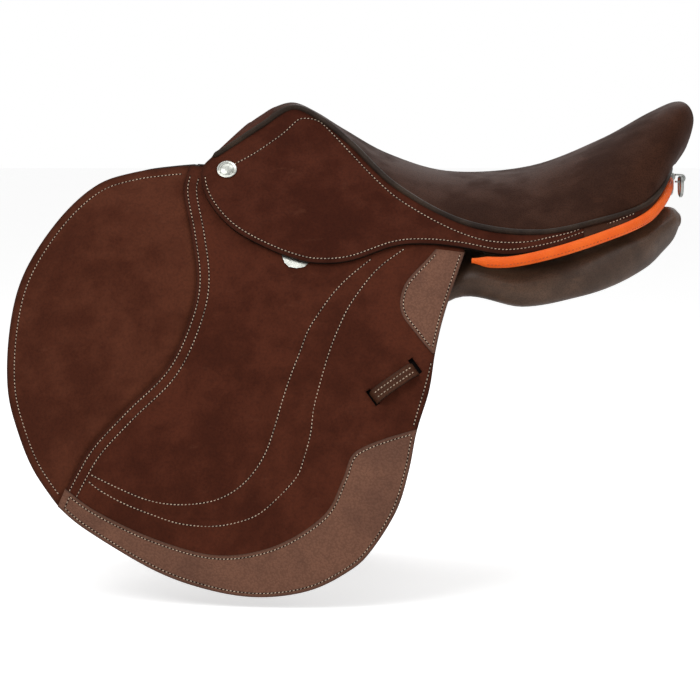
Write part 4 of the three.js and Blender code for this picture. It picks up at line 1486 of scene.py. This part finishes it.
        def lay(flat: Points) -> tuple[Points, Points]:
            """Places rows of length along the strap and place across it."""
            length = np.concatenate([[0], np.cumsum(np.linalg.norm(np.diff(profile, axis=0), axis=1))])
            u = np.interp(flat[:, 0], length, profile[:, 0])
            h = np.interp(flat[:, 0], length, profile[:, 1])
            du = np.interp(flat[:, 0] + 0.5, length, profile[:, 0]) - u
            dh = np.interp(flat[:, 0] + 0.5, length, profile[:, 1]) - h
            at = origin + along * u[:, None] + out * h[:, None] + across * flat[:, 1:2]
            normal = out * du[:, None] - along * dh[:, None]
            return at, normal / np.maximum(np.linalg.norm(normal, axis=1)[:, None], 1e-9)

        self.build_backing()
        total = line_length(profile)
        rows = [np.stack([np.linspace(0, total, 60), np.full(60, v)], 1)
                for v in np.linspace(-self.keeper_width / 2, self.keeper_width / 2, 9)]
        flat = np.vstack(rows)
        points, normals = lay(flat)
        shell = Shell()
        edge = (np.abs(flat[:, 1]) > 5.2).astype(float)
        shell.add(points, facing(points, grid_faces(9, 60), normals), edge)
        obj = dress(shell.to_object(f"keeper_leather_{self.side.tag}"), FINISH.strap, FINISH.cut_edge)
        thicken(obj, 2.0, 0.5)
        self.rides(obj, "strap", "keeper")
        span = np.linspace(9, total - 9, 40)
        lines = [np.stack([span, np.full(40, v)], 1) for v in (-2.4, 2.4)]
        for made in stitches(f"keeper_stitches_{self.side.tag}", lines, lay, FINISH.thread, groove=False):
            self.rides(made, "strap")

    def build(self) -> None:
        """Makes the whole flap."""
        self.build_main()
        self.build_pad()
        self.build_patches()
        self.build_stitches()
        self.build_keeper()


@dataclass
class Skirt:
    """The small flap over the stirrup bar, and the nail that holds its front."""

    side: Side
    thick: float = 2.8
    nail_at: tuple[float, float] = (-187, 123)
    nail_radius: float = 9.0

    def face(self, x: Points, z: Points) -> Points:
        """The depth of the outer face, slightly rolled in at the lower edge."""
        away = distance_to(spline(SKIRT_LOW, 3), x, z)
        return 0.9 * (1 - ease(away, 0, 9)) - 0.4 * ease(away, 8, 30)

    def build_leather(self) -> None:
        """Makes the skirt and its stitches."""
        rim = SEAT.rim_at(np.linspace(0, 1, 420))
        rim = rim[rim[:, 0] < 192][:, [0, 2]]
        top = resample(rim, 190)
        low = resample(spline(SKIRT_LOW, 12)[::-1], 190)
        shell = strip_sheet(top, low, 26, self.face, self.side)
        obj = dress(shell.to_object(f"skirt_leather_{self.side.tag}"), FINISH.skirt, FINISH.cut_edge)
        merge(obj)
        thicken(obj, self.thick, 0.7)
        SKIRT_FOLD.bend(obj, self.side)
        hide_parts(f"skirt_upper_{self.side.tag}", f"skirt_lobe_{self.side.tag}")
        report(obj, "nubuck_dark")
        below = inset(low, 3.8)
        if below[:, 1].mean() < low[:, 1].mean():
            below = inset(low, -3.8)
        rows = [spline(SKIRT_TOP_STITCH), below[8:-2]]
        for made in stitches(f"skirt_stitches_{self.side.tag}", rows,
                             on_side(lambda x, z: self.face(x, z) - 0.1, self.side), FINISH.thread):
            SKIRT_FOLD.bend(made, self.side)
            report(made, "nubuck_dark")

    def build_nail(self) -> None:
        """Makes the round nail with its ring and three small holes."""
        x, z = self.nail_at
        depth = float(self.face(np.array([x]), np.array([z]))[0])
        seat = Vector(SIDES.point([x], [z], depth, self.side)[0] * MM)
        out = Vector(SIDES.outward([x], [z], self.side)[0])
        bpy.ops.object.select_all(action="DESELECT")
        bpy.ops.mesh.primitive_cylinder_add(vertices=48, radius=self.nail_radius * MM, depth=1.6 * MM,
                                            location=(0, 0, 0.9 * MM))
        disc = bpy.context.active_object
        disc.name = f"nail_head_{self.side.tag}"
        bpy.ops.object.transform_apply(location=True, rotation=True, scale=True)
        work = bmesh.new()
        work.from_mesh(disc.data)
        cap = max(work.faces, key=lambda f: f.calc_center_median().z)
        for step, lift in ((1.0, 0.0), (0.5, -0.35), (1.2, 0.0), (0.4, 0.35), (0.8, 0.25), (1.6, 0.45)):
            bmesh.ops.inset_region(work, faces=[cap], thickness=step * MM, use_even_offset=True)
            for vertex in cap.verts:
                vertex.co.z += lift * MM
        work.to_mesh(disc.data)
        work.free()
        round_edges(disc, 0.25, 2, 40)
        apply_all(disc)
        holes = Shell()
        for k in range(3):
            angle = math.radians(90 + 120 * k)
            holes_at = np.array([math.cos(angle), math.sin(angle), 0]) * 6.6
            ring = [holes_at + (0.75 * math.cos(t), 0.75 * math.sin(t), h) for h in (0.6, 4.0)
                    for t in np.linspace(0, 2 * math.pi, 16, endpoint=False)]
            faces = [list(range(16))[::-1], list(range(16, 32))]
            faces += [[i, (i + 1) % 16, 16 + (i + 1) % 16, 16 + i] for i in range(16)]
            holes.add(np.array(ring), faces)
        cut(disc, holes.to_object("cutter"))
        disc.data.transform(Matrix.Translation(seat) @ out.to_track_quat("Z", "Y").to_matrix().to_4x4())
        dress(disc, FINISH.silver)
        only(disc)
        bpy.ops.object.shade_smooth_by_angle(angle=math.radians(35))
        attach(disc, "frame")
        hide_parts(f"nail_{self.side.tag}")
        report(disc, "silver")

    def build(self) -> None:
        """Makes the skirt and its nail."""
        self.build_leather()
        self.build_nail()


@dataclass
class UnderFlap:
    """What lies under the flap: sweat flap, blocks, girth web and the three girth straps."""

    side: Side
    sweat: tuple = ((-205, 60), (-290, 66), (-335, 30), (-352, -50), (-338, -120), (-285, -175), (-200, -212),
                    (-120, -212), (-72, -180), (-46, -140), (-36, -100), (-24, -40), (-14, 10), (-12, 22))
    knee_block: tuple = (((-300, 60), (-322, 54), (-342, 10), (-352, -50), (-344, -100), (-330, -118)),
                         ((-300, 60), (-296, 40), (-312, 0), (-318, -50), (-316, -104), (-330, -118)))
    calf_block: tuple = (((-38, -66), (-32, -80), (-36, -120), (-46, -150), (-57, -160)),
                         ((-38, -66), (-50, -76), (-58, -110), (-62, -146), (-57, -160)))
    pivots: tuple[float, ...] = (-186, -140, -94)
    strap_length: float = 205
    strap_width: float = 25
    holes: int = 5
    hole_pitch: float = 18

    def build_sweat_flap(self) -> None:
        """Makes the thin flap that lies next to the horse, with an edge row of stitches."""
        tag = self.side.tag
        edge = spline(self.sweat)
        top = resample(np.array([self.sweat[-1], self.sweat[0]], float), 40)
        edge = np.vstack([resample(edge, 150)[:-1], top[:-1]])
        rings = [0.12, 0.26, 0.4, 0.53, 0.65, 0.75, 0.83, 0.89, 0.935, 0.965, 0.985, 1.0]
        shell = radial_sheet(edge, (-180, -70), rings, flat_depth(21.9), self.side)
        obj = dress(shell.to_object(f"sweat_flap_leather_{tag}"), FINISH.strap, FINISH.cut_edge)
        thicken(obj, 2.8, 0.6)
        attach(obj, "frame")
        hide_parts(f"sweat_flap_{tag}")
        report(obj, "strap")
        line = resample(spline(self.sweat), 150)[3:-3]
        centre = np.array([-180, -70])
        moved = line + (centre - line) / np.linalg.norm(centre - line, axis=1)[:, None] * 5
        for made in stitches(f"sweat_flap_stitches_{tag}", [moved], on_side(flat_depth(21.85), self.side),
                             FINISH.thread, groove=False):
            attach(made, "frame")
            report(made, "strap")

    def build_block(self, name: str, edges: tuple, rise: float) -> None:
        """Makes a padded block.

        Args:
            name: The CAD node's name without its side.
            edges: Its outer and its inner edge as X and Z, which meet at both ends.
            rise: How high it stands, in millimetres.
        """
        outer, inner = (resample(spline(edge), 70) for edge in edges)
        closed = np.vstack([outer, inner[::-1]])

        def crown(x: Points, z: Points) -> Points:
            """The depth of the block's crowned outer face."""
            away = distance_to(closed, x, z)
            return 21.0 - rise * np.sqrt(np.clip(1 - (1 - np.clip(away / 8.5, 0, 1)) ** 2, 0, 1))

        shell = strip_sheet(outer, inner, 16, crown, self.side)
        obj = dress(shell.to_object(f"{name}_cushion_{self.side.tag}"), FINISH.seat)
        merge(obj)
        thicken(obj, 0.6, 0)
        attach(obj, "frame")
        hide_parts(f"{name}_{self.side.tag}")
        report(obj, "seat_leather")

    def build_web(self) -> None:
        """Makes the web band that the girth straps are sewn to."""
        top = resample(np.array([(-206, 44), (-72, 30)], float), 40)
        low = resample(np.array([(-206, 24), (-72, 4)], float), 40)
        obj = dress(strip_sheet(top, low, 8, flat_depth(16.7), self.side).to_object(f"girth_band_{self.side.tag}"),
                    FINISH.web)
        thicken(obj, 2.0, 0.4)
        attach(obj, "frame")
        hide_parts(f"girth_web_{self.side.tag}")
        report(obj, "webbing")

    def build_straps(self) -> None:
        """Makes the girth straps, each with a rounded end, punched holes and edge stitches."""
        for number, x in enumerate(self.pivots, 1):
            half = self.strap_width / 2
            top = float(SIDES.line_z(np.array(x))) - 66
            low = top - self.strap_length
            t = np.linspace(0, 1, 60)
            z = top + (low + half * 0.8 - top) * t
            arc = np.linspace(0, math.pi / 2, 12)[1:]
            left = np.vstack([np.stack([np.full(60, x - half), z], 1),
                              np.stack([x - half * np.cos(arc), z[-1] - half * 0.8 * np.sin(arc)], 1)])
            right = left * (-1, 1) + (2 * x, 0)
            shell = strip_sheet(left, right, 8, flat_depth(12.5), self.side, 2.5)
            obj = dress(shell.to_object(f"girth_strap_{number}_{self.side.tag}"), FINISH.strap,
                        FINISH.cut_edge)
            merge(obj)
            thicken(obj, 3.2, 0.6)
            punches = Shell()
            for i in range(self.holes):
                ring = [(x + 2.1 * math.cos(a), y, low + 30 + i * self.hole_pitch + 2.1 * math.sin(a))
                        for y in (self.side.value * 60, self.side.value * 260)
                        for a in np.linspace(0, 2 * math.pi, 14, endpoint=False)]
                faces = [list(range(14))[::-1], list(range(14, 28))]
                faces += [[k, (k + 1) % 14, 14 + (k + 1) % 14, 14 + k] for k in range(14)]
                punches.add(np.array(ring), faces)
            tool = punches.to_object("cutter")
            tidy_normals(tool)
            cut(obj, tool)
            body = f"billet_{number}_{self.side.tag}"
            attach(obj, body)
            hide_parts(body)
            report(obj, "strap")
            rows = [line[2:62] for line in (inset(left, 2.6), inset(right, -2.6))]
            for made in stitches(f"girth_strap_stitches_{number}_{self.side.tag}", rows,
                                 on_side(flat_depth(12.45), self.side), FINISH.thread, groove=False):
                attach(made, body)
                report(made, "strap")

    def build(self) -> None:
        """Makes everything under the flap."""
        self.build_sweat_flap()
        self.build_block("knee_block", self.knee_block, 8.6)
        self.build_block("calf_block", self.calf_block, 8.6)
        self.build_web()
        self.build_straps()


# ---------------------------------------------------------------------------
# Seat, panels and trim
# ---------------------------------------------------------------------------


@dataclass
class Seat:
    """The padded seat cover, its foam and web, the welts and the strip along the pommel."""

    last: float = 14
    welt_radius: float = 2.8
    cover_thick: float = 2.6
    foam_top: float = 5
    foam_head: float = 5
    foam_full: float = 18
    suede_end: float = 2.1

    def build_cover(self) -> None:
        """Makes the seat cover."""
        stations = np.linspace(0, self.last, 120)
        across = np.linspace(-1, 1, 61)
        edge = SEAT.rim_at(stations / self.last)[:, 1]
        reach = 1 - 1.6 / np.maximum(edge, 3.2)
        s, a = np.meshgrid(stations, across, indexing="ij")
        a = a * reach[:, None]
        crease = 0.9 * np.exp(-(((np.abs(a) - 0.86) / 0.05) ** 2))
        crease = crease * ease(s, 8.5, 10.5) * (1 - ease(s, 12.6, 13.4))
        points = SEAT.point(s, a, crease)
        out = points - np.array([20, 0, 40])
        shell = Shell()
        shell.add(points, facing(points, grid_faces(120, 61), out))
        obj = dress(shell.to_object("seat_cover_leather"), FINISH.seat, FINISH.facing)
        for face in obj.data.polygons:
            face.material_index = int(stations[min(face.index // 60, 119)] < self.suede_end)
        thicken(obj, self.cover_thick, 0.5)
        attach(obj, "frame")
        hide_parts("seat_cover")
        report(obj, "seat_leather")

    def underside(self, s: Points, a: Points) -> Points:
        """The depth of the foam's underside."""
        thick = self.foam_head + (self.foam_full - self.foam_head) * ease(s, 3, 6) - 9 * ease(s, 8.5, 11)
        return self.foam_top + thick * (1 - 0.6 * a**2)

    def build_layer(self, name: str, stations: tuple[float, float], across: float,
                    top: Depth, bottom: Depth, material: bpy.types.Material) -> bpy.types.Object:
        """Makes a closed layer of the seat between two depths.

        Args:
            name: The piece's name.
            stations: Where it starts and ends.
            across: How far out it reaches, from 0 to 1.
            top: Its upper depth at each station and place across.
            bottom: Its lower depth.
            material: Its finish.

        Returns:
            The piece.
        """
        s, a = np.meshgrid(np.linspace(*stations, 60), np.linspace(-across, across, 31), indexing="ij")
        up, low = SEAT.point(s, a, top(s, a)), SEAT.point(s, a, bottom(s, a))
        faces = grid_faces(60, 31)
        count = len(up)
        faces += [[count + i for i in face[::-1]] for face in faces]
        loop = list(range(31)) + [i * 31 + 30 for i in range(1, 60)]
        loop += [59 * 31 + j for j in range(29, -1, -1)] + [i * 31 for i in range(58, 0, -1)]
        faces += [[loop[k], count + loop[k], count + loop[(k + 1) % len(loop)], loop[(k + 1) % len(loop)]]
                  for k in range(len(loop))]
        shell = Shell()
        shell.add(np.vstack([up, low]), faces)
        obj = dress(shell.to_object(name, 40), material)
        tidy_normals(obj)
        round_edges(obj, 0.8, 2)
        apply_all(obj)
        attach(obj, "frame")
        return obj

    def build_inside(self) -> None:
        """Makes the foam and the web under it."""
        foam = self.build_layer("seat_foam_layer", (0.5, 12.5), 0.8,
                                lambda s, a: np.full(np.shape(s), self.foam_top), self.underside, FINISH.foam)
        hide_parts("seat_foam")
        report(foam, "foam")
        web = self.build_layer("seat_web_layer", (4.5, 9.5), 0.6, lambda s, a: self.underside(s, a) + 1.0,
                               lambda s, a: self.underside(s, a) + 3.2, FINISH.web)
        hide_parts("seat_web")
        report(web, "webbing")

    def build_welt(self, side: Side) -> None:
        """Makes the welt between the seat and a skirt."""
        path = SEAT.rim_at(np.linspace(0, 1, 260)) * (1, side.value, 1)
        ends = np.clip(np.minimum(np.arange(260), 259 - np.arange(260)) / 4 + 0.35, 0, 1)
        shell = sweep(path, (self.welt_radius, self.welt_radius), 12, ends)
        obj = dress(shell.to_object(f"welt_cord_{side.tag}", 80), FINISH.welt)
        tidy_normals(obj)
        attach(obj, "frame")
        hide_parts(f"welt_{side.tag}")
        report(obj, "welt")

    def build_facing(self) -> None:
        """Makes the suede strip in front of the pommel welt."""
        drop, across = np.meshgrid(np.linspace(0, 1, 10), np.linspace(-0.92, 0.92, 80), indexing="ij")

        def lay(flat: Points) -> tuple[Points, Points]:
            """Places rows of share down the strip and place across it."""
            u, v = flat[:, 0], flat[:, 1]
            edge = SEAT.point(np.zeros(len(flat)), v, 0)
            at = np.stack([edge[:, 0] - 0.6 - 8 * u, edge[:, 1] * (1 + 0.03 * u),
                           edge[:, 2] - 1 - 7 * u * u], 1)
            out = np.stack([-np.ones(len(flat)), 0.25 * np.sign(v), 0.9 + 0 * u], 1)
            return at, out / np.linalg.norm(out, axis=1)[:, None]

        flat = np.stack([drop.ravel(), across.ravel()], 1)
        points, out = lay(flat)
        shell = Shell()
        shell.add(points, facing(points, grid_faces(10, 80), out), (flat[:, 0] > 0.85).astype(float))
        obj = dress(shell.to_object("pommel_facing_suede"), FINISH.facing, FINISH.cut_edge)
        thicken(obj, 2.6, 0.5)
        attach(obj, "frame")
        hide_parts("pommel_facing")
        report(obj, "nubuck_dark")

    def build(self) -> None:
        """Makes the whole seat."""
        self.build_cover()
        self.build_inside()
        for side in Side:
            self.build_welt(side)
        self.build_facing()


@dataclass
class CantleTrim:
    """The rolled trim round the back, its stitches, and the leather band between it and the seat."""

    half_height: float = 5.0
    half_thick: float = 4.2

    def path(self, count: int) -> Points:
        """The trim's middle line from the left end to the right end."""
        left = np.asarray(TRIM_PATH, float) * (1, -1, 1)
        right = (np.asarray(TRIM_PATH, float)[:-1])[::-1]
        return resample(spline(np.vstack([left, right]), 12), count)

    def build_roll(self) -> None:
        """Makes the rolled trim."""
        path = self.path(260)
        count = len(path)
        near = np.minimum(np.arange(count), count - 1 - np.arange(count))
        taper = 0.45 + 0.55 * ease(near, 0, 7)
        shell = sweep(path, (self.half_thick, self.half_height), 16, taper)
        roll = shell.to_object("rolled_trim_leather", 80)
        dress(roll, FINISH.trim)
        tidy_normals(roll)
        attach(roll, "frame")
        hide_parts("rolled_trim")
        report(roll, "trim")

    def lay(self, lift: float) -> Callable[[Points], tuple[Points, Points]]:
        """A function that places rows of share round the back at a height on the roll's outer face."""
        path = self.path(400)

        def place(flat: Points) -> tuple[Points, Points]:
            """Places rows of distance along the trim."""
            share = flat[:, 0] / line_length(path) * (len(path) - 1)
            at = np.stack([np.interp(share, np.arange(len(path)), path[:, k]) for k in range(3)], 1)
            ahead = np.stack([np.interp(share + 1, np.arange(len(path)), path[:, k]) for k in range(3)], 1)
            behind = np.stack([np.interp(share - 1, np.arange(len(path)), path[:, k]) for k in range(3)], 1)
            way = ahead - behind
            out = np.stack([way[:, 1], -way[:, 0], np.zeros(len(way))], 1)
            out /= np.linalg.norm(out, axis=1)[:, None]
            angle = math.asin(lift / self.half_height)
            normal = out * math.cos(angle) + np.array([0, 0, 1.0]) * math.sin(angle)
            return at + out * self.half_thick * math.cos(angle) + np.array([0, 0, lift]), normal

        return place

    def build_stitches(self) -> None:
        """Makes the row of matching stitches along the roll's lower half."""
        total = line_length(self.path(400))
        row = np.stack([np.linspace(14, total - 14, 300), np.zeros(300)], 1)
        for made in stitches("rolled_trim_stitches", [row], self.lay(-2.3), FINISH.trim_thread, groove=False):
            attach(made, "frame")
            report(made, "trim")

    def build_band(self) -> None:
        """Makes the leather band that closes the back between the welts and the trim."""
        half_top = SEAT.rim_at(np.linspace(0.62, 1, 120))
        top = np.vstack([half_top * (1, -1, 1), half_top[::-1]])
        top = resample(top, 240)
        trim = self.path(600)
        start = int(np.argmin(np.abs(trim[:300, 0] - half_top[0, 0])))
        low = resample(trim[start: len(trim) - start], 240) + (0, 0, 1.5)
        shares = np.linspace(0, 1, 9)
        centre = np.array([120.0, 0, 100])
        rows = []
        for share in shares:
            row = top + (low - top) * share
            out = row - centre
            out[:, 2] = 0
            out /= np.linalg.norm(out, axis=1)[:, None]
            rows.append(row - out * (1.4 - 1.0 * math.sin(math.pi * share)))
        points = np.vstack(rows)
        shell = Shell()
        shell.add(points, facing(points, grid_faces(9, 240), points - centre))
        obj = dress(shell.to_object("cantle_band_leather"), FINISH.strap, FINISH.cut_edge)
        thicken(obj, 1.6, 0.3)
        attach(obj, "frame")
        report(obj, "strap")

    def build(self) -> None:
        """Makes the trim and the band."""
        self.build_roll()
        self.build_stitches()
        self.build_band()


@dataclass
class Panel:
    """One of the two wool-flocked cushions that rest on the horse's back."""

    side: Side
    around: int = 26
    along: int = 110
    stations: tuple = (
        (-258, ((84, 52), (102, -2), (130, -98)), (3, 5, 3)),
        (-250, ((83, 60), (100, 0), (132, -108)), (7, 12, 8)),
        (-190, ((52, 96), (96, 20), (142, -128)), (16, 20, 10)),
        (-150, ((36, 114), (92, 26), (144, -124)), (18, 22, 12)),
        (-100, ((36, 94), (94, 14), (142, -118)), (20, 26, 12)),
        (-40, ((36, 76), (100, 14), (128, -56)), (22, 30, 14)),
        (20, ((37, 62), (100, 24), (130, 17)), (24, 31, 26)),
        (80, ((38, 58), (100, 20), (138, 12)), (26, 36, 32)),
        (130, ((40, 64), (100, 29), (132, 24)), (26, 39, 39)),
        (165, ((42, 74), (92, 41), (116, 34)), (24, 38, 42)),
        (195, ((44, 85), (78, 55), (95, 45)), (20, 33, 39)),
        (212, ((46, 87), (66, 67), (79, 57)), (17, 29, 34)),
        (222, ((48, 86), (61, 73), (70, 66)), (14, 23, 26)),
        (227, ((52, 83), (59, 77), (64, 73)), (5, 9, 10)),
    )

    def ring(self, station: tuple) -> Points:
        """One section of the cushion, as a closed run of points."""
        x, line, thick = station
        a, b, c = (np.array(p, float) for p in line)
        t = (1 - np.cos(np.linspace(0, math.pi, self.around)))[:, None] / 2
        at = (1 - t) ** 2 * a + 2 * t * (1 - t) * b + t**2 * c
        way = 2 * (1 - t) * (b - a) + 2 * t * (c - b)
        way /= np.linalg.norm(way, axis=1)[:, None]
        width = spline_at([(float(w),) for w in thick], t[:, 0])[:, 0] / 2
        half = width * np.sqrt(np.clip(1 - np.abs(2 * t[:, 0] - 1) ** 5, 0, 1))
        up = at + np.stack([-way[:, 1], way[:, 0]], 1) * half[:, None]
        low = at - np.stack([-way[:, 1], way[:, 0]], 1) * half[:, None]
        section = np.vstack([up, low[::-1][1:-1]])
        return np.stack([np.full(len(section), float(x)), self.side.value * section[:, 0], section[:, 1]], 1)

    def build(self) -> None:
        """Makes the cushion with rounded ends."""
        rings = np.array([self.ring(s) for s in self.stations])
        fine = spline(rings.reshape(len(rings), -1), 9).reshape(-1, rings.shape[1], 3)
        count, size = fine.shape[:2]
        ends = []
        for first, sign in ((fine[0], -1), (fine[-1], 1)):
            middle = first.mean(0)
            ends.append([middle + (first - middle) * r + (sign * d, 0, 0)
                         for r, d in ((0.8, 1.2), (0.5, 2.0))])
        body = np.concatenate([np.array(ends[0][::-1]), fine, np.array(ends[1])])
        faces = []
        for i in range(len(body) - 1):
            for j in range(size):
                faces.append([i * size + j, i * size + (j + 1) % size, (i + 1) * size + (j + 1) % size,
                              (i + 1) * size + j])
        faces += [list(range(size))[::-1], [(len(body) - 1) * size + j for j in range(size)]]
        shell = Shell()
        shell.add(body.reshape(-1, 3), faces)
        obj = dress(shell.to_object(f"panel_cushion_{self.side.tag}", 80), FINISH.panel)
        tidy_normals(obj)
        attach(obj, "frame")
        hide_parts(f"panel_{self.side.tag}")
        report(obj, "panel_leather")


# ---------------------------------------------------------------------------
# Carried-over parts, camera, light and floor
# ---------------------------------------------------------------------------


def dress_frame() -> None:
    """Gives every CAD node that still shows its procedural finish."""
    looks = {"tree_frame": FINISH.wood, "head_plate": FINISH.steel, "spring_strip": FINISH.steel,
             "stirrup_bar": FINISH.steel, "bar_catch": FINISH.steel, "bar_plate": FINISH.silver,
             "rear_staple": FINISH.steel, "rear_dee": FINISH.steel}
    for name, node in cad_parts.items():
        if node.hide_render:
            continue
        stem = name[:-2] if name.endswith(("_l", "_r")) else name
        dress(node, looks.get(stem, FINISH.strap))
        LOG.info("%s keeps its shape", name)


@dataclass(frozen=True)
class Setting:
    """The camera, the lights and the pale floor."""

    target: tuple[float, float, float] = (-0.075, 0.0, -0.047)
    distance: float = 3.0
    elevation: float = 4.0
    lens: float = 164.13
    floor_z: float = -0.262
    surround: float = 0.42

    def build_camera(self) -> None:
        """Makes the camera at the near side, a little above the middle."""
        angle = math.radians(self.elevation)
        ahead = Vector((0, math.cos(angle), -math.sin(angle)))
        data = bpy.data.cameras.new("camera")
        data.lens = self.lens
        data.sensor_width = 36
        data.clip_end = 50
        camera = bpy.data.objects.new("camera", data)
        camera.location = Vector(self.target) - ahead * self.distance
        camera.rotation_mode = "QUATERNION"
        camera.rotation_quaternion = ahead.to_track_quat("-Z", "Y")
        bpy.context.scene.collection.objects.link(camera)
        bpy.context.scene.camera = camera

    def build_light(self, name: str, at: tuple, aim: tuple, size: float, power: float) -> None:
        """Makes a large soft light.

        Args:
            name: Its name.
            at: Where it hangs.
            aim: What it points at.
            size: The length of its side.
            power: Its power in watts.
        """
        data = bpy.data.lights.new(name, "AREA")
        data.size = size
        data.energy = power
        light = bpy.data.objects.new(name, data)
        light.location = at
        light.rotation_mode = "QUATERNION"
        light.rotation_quaternion = (Vector(aim) - Vector(at)).to_track_quat("-Z", "Y")
        bpy.context.scene.collection.objects.link(light)

    def build_floor(self) -> None:
        """Makes the wide pale floor."""
        x, y = np.meshgrid(np.linspace(-30000, 30000, 9), np.linspace(-30000, 30000, 9), indexing="ij")
        points = np.stack([x.ravel(), y.ravel(), np.full(x.size, self.floor_z / MM)], 1)
        shell = Shell()
        shell.add(points, facing(points, grid_faces(9, 9), np.tile([0, 0, 1.0], (len(points), 1))))
        dress(shell.to_object("studio_floor", 80), FINISH.studio)

    def build(self) -> None:
        """Makes the camera, floor, lights and bright surroundings."""
        self.build_camera()
        self.build_floor()
        self.build_light("key", (-1.6, -2.2, 2.4), (-0.05, 0, 0), 1.8, 44)
        self.build_light("fill", (2.2, -2.0, 0.9), (0, 0, 0), 1.8, 15)
        self.build_light("top", (0.2, 0.3, 2.6), (0, 0, 0), 2.2, 20)
        self.build_light("back", (0.5, 2.2, 1.6), (0, 0, 0), 1.6, 12)
        world = bpy.data.worlds.new("studio")
        world.use_nodes = True
        back = world.node_tree.nodes["Background"]
        back.inputs["Color"].default_value = (1, 1, 1, 1)
        graph = Graph(world.node_tree)
        seen = graph.node("ShaderNodeLightPath").outputs["Is Camera Ray"]
        graph.link(graph.span(seen, 0, 1, self.surround, 1.0), back.inputs["Strength"])
        bpy.context.scene.world = world
        bpy.context.scene.view_settings.view_transform = "Standard"
        bpy.context.scene.view_settings.look = "None"


def main() -> None:
    """Builds the saddle in order, then the studio."""
    logging.basicConfig(level=logging.INFO, format="%(message)s")
    Setting().build()
    for side in Side:
        Flap(side).build()
        Skirt(side).build()
        UnderFlap(side).build()
        Panel(side).build()
    Seat().build()
    CantleTrim().build()
    dress_frame()


if __name__ == "__main__":
    main()
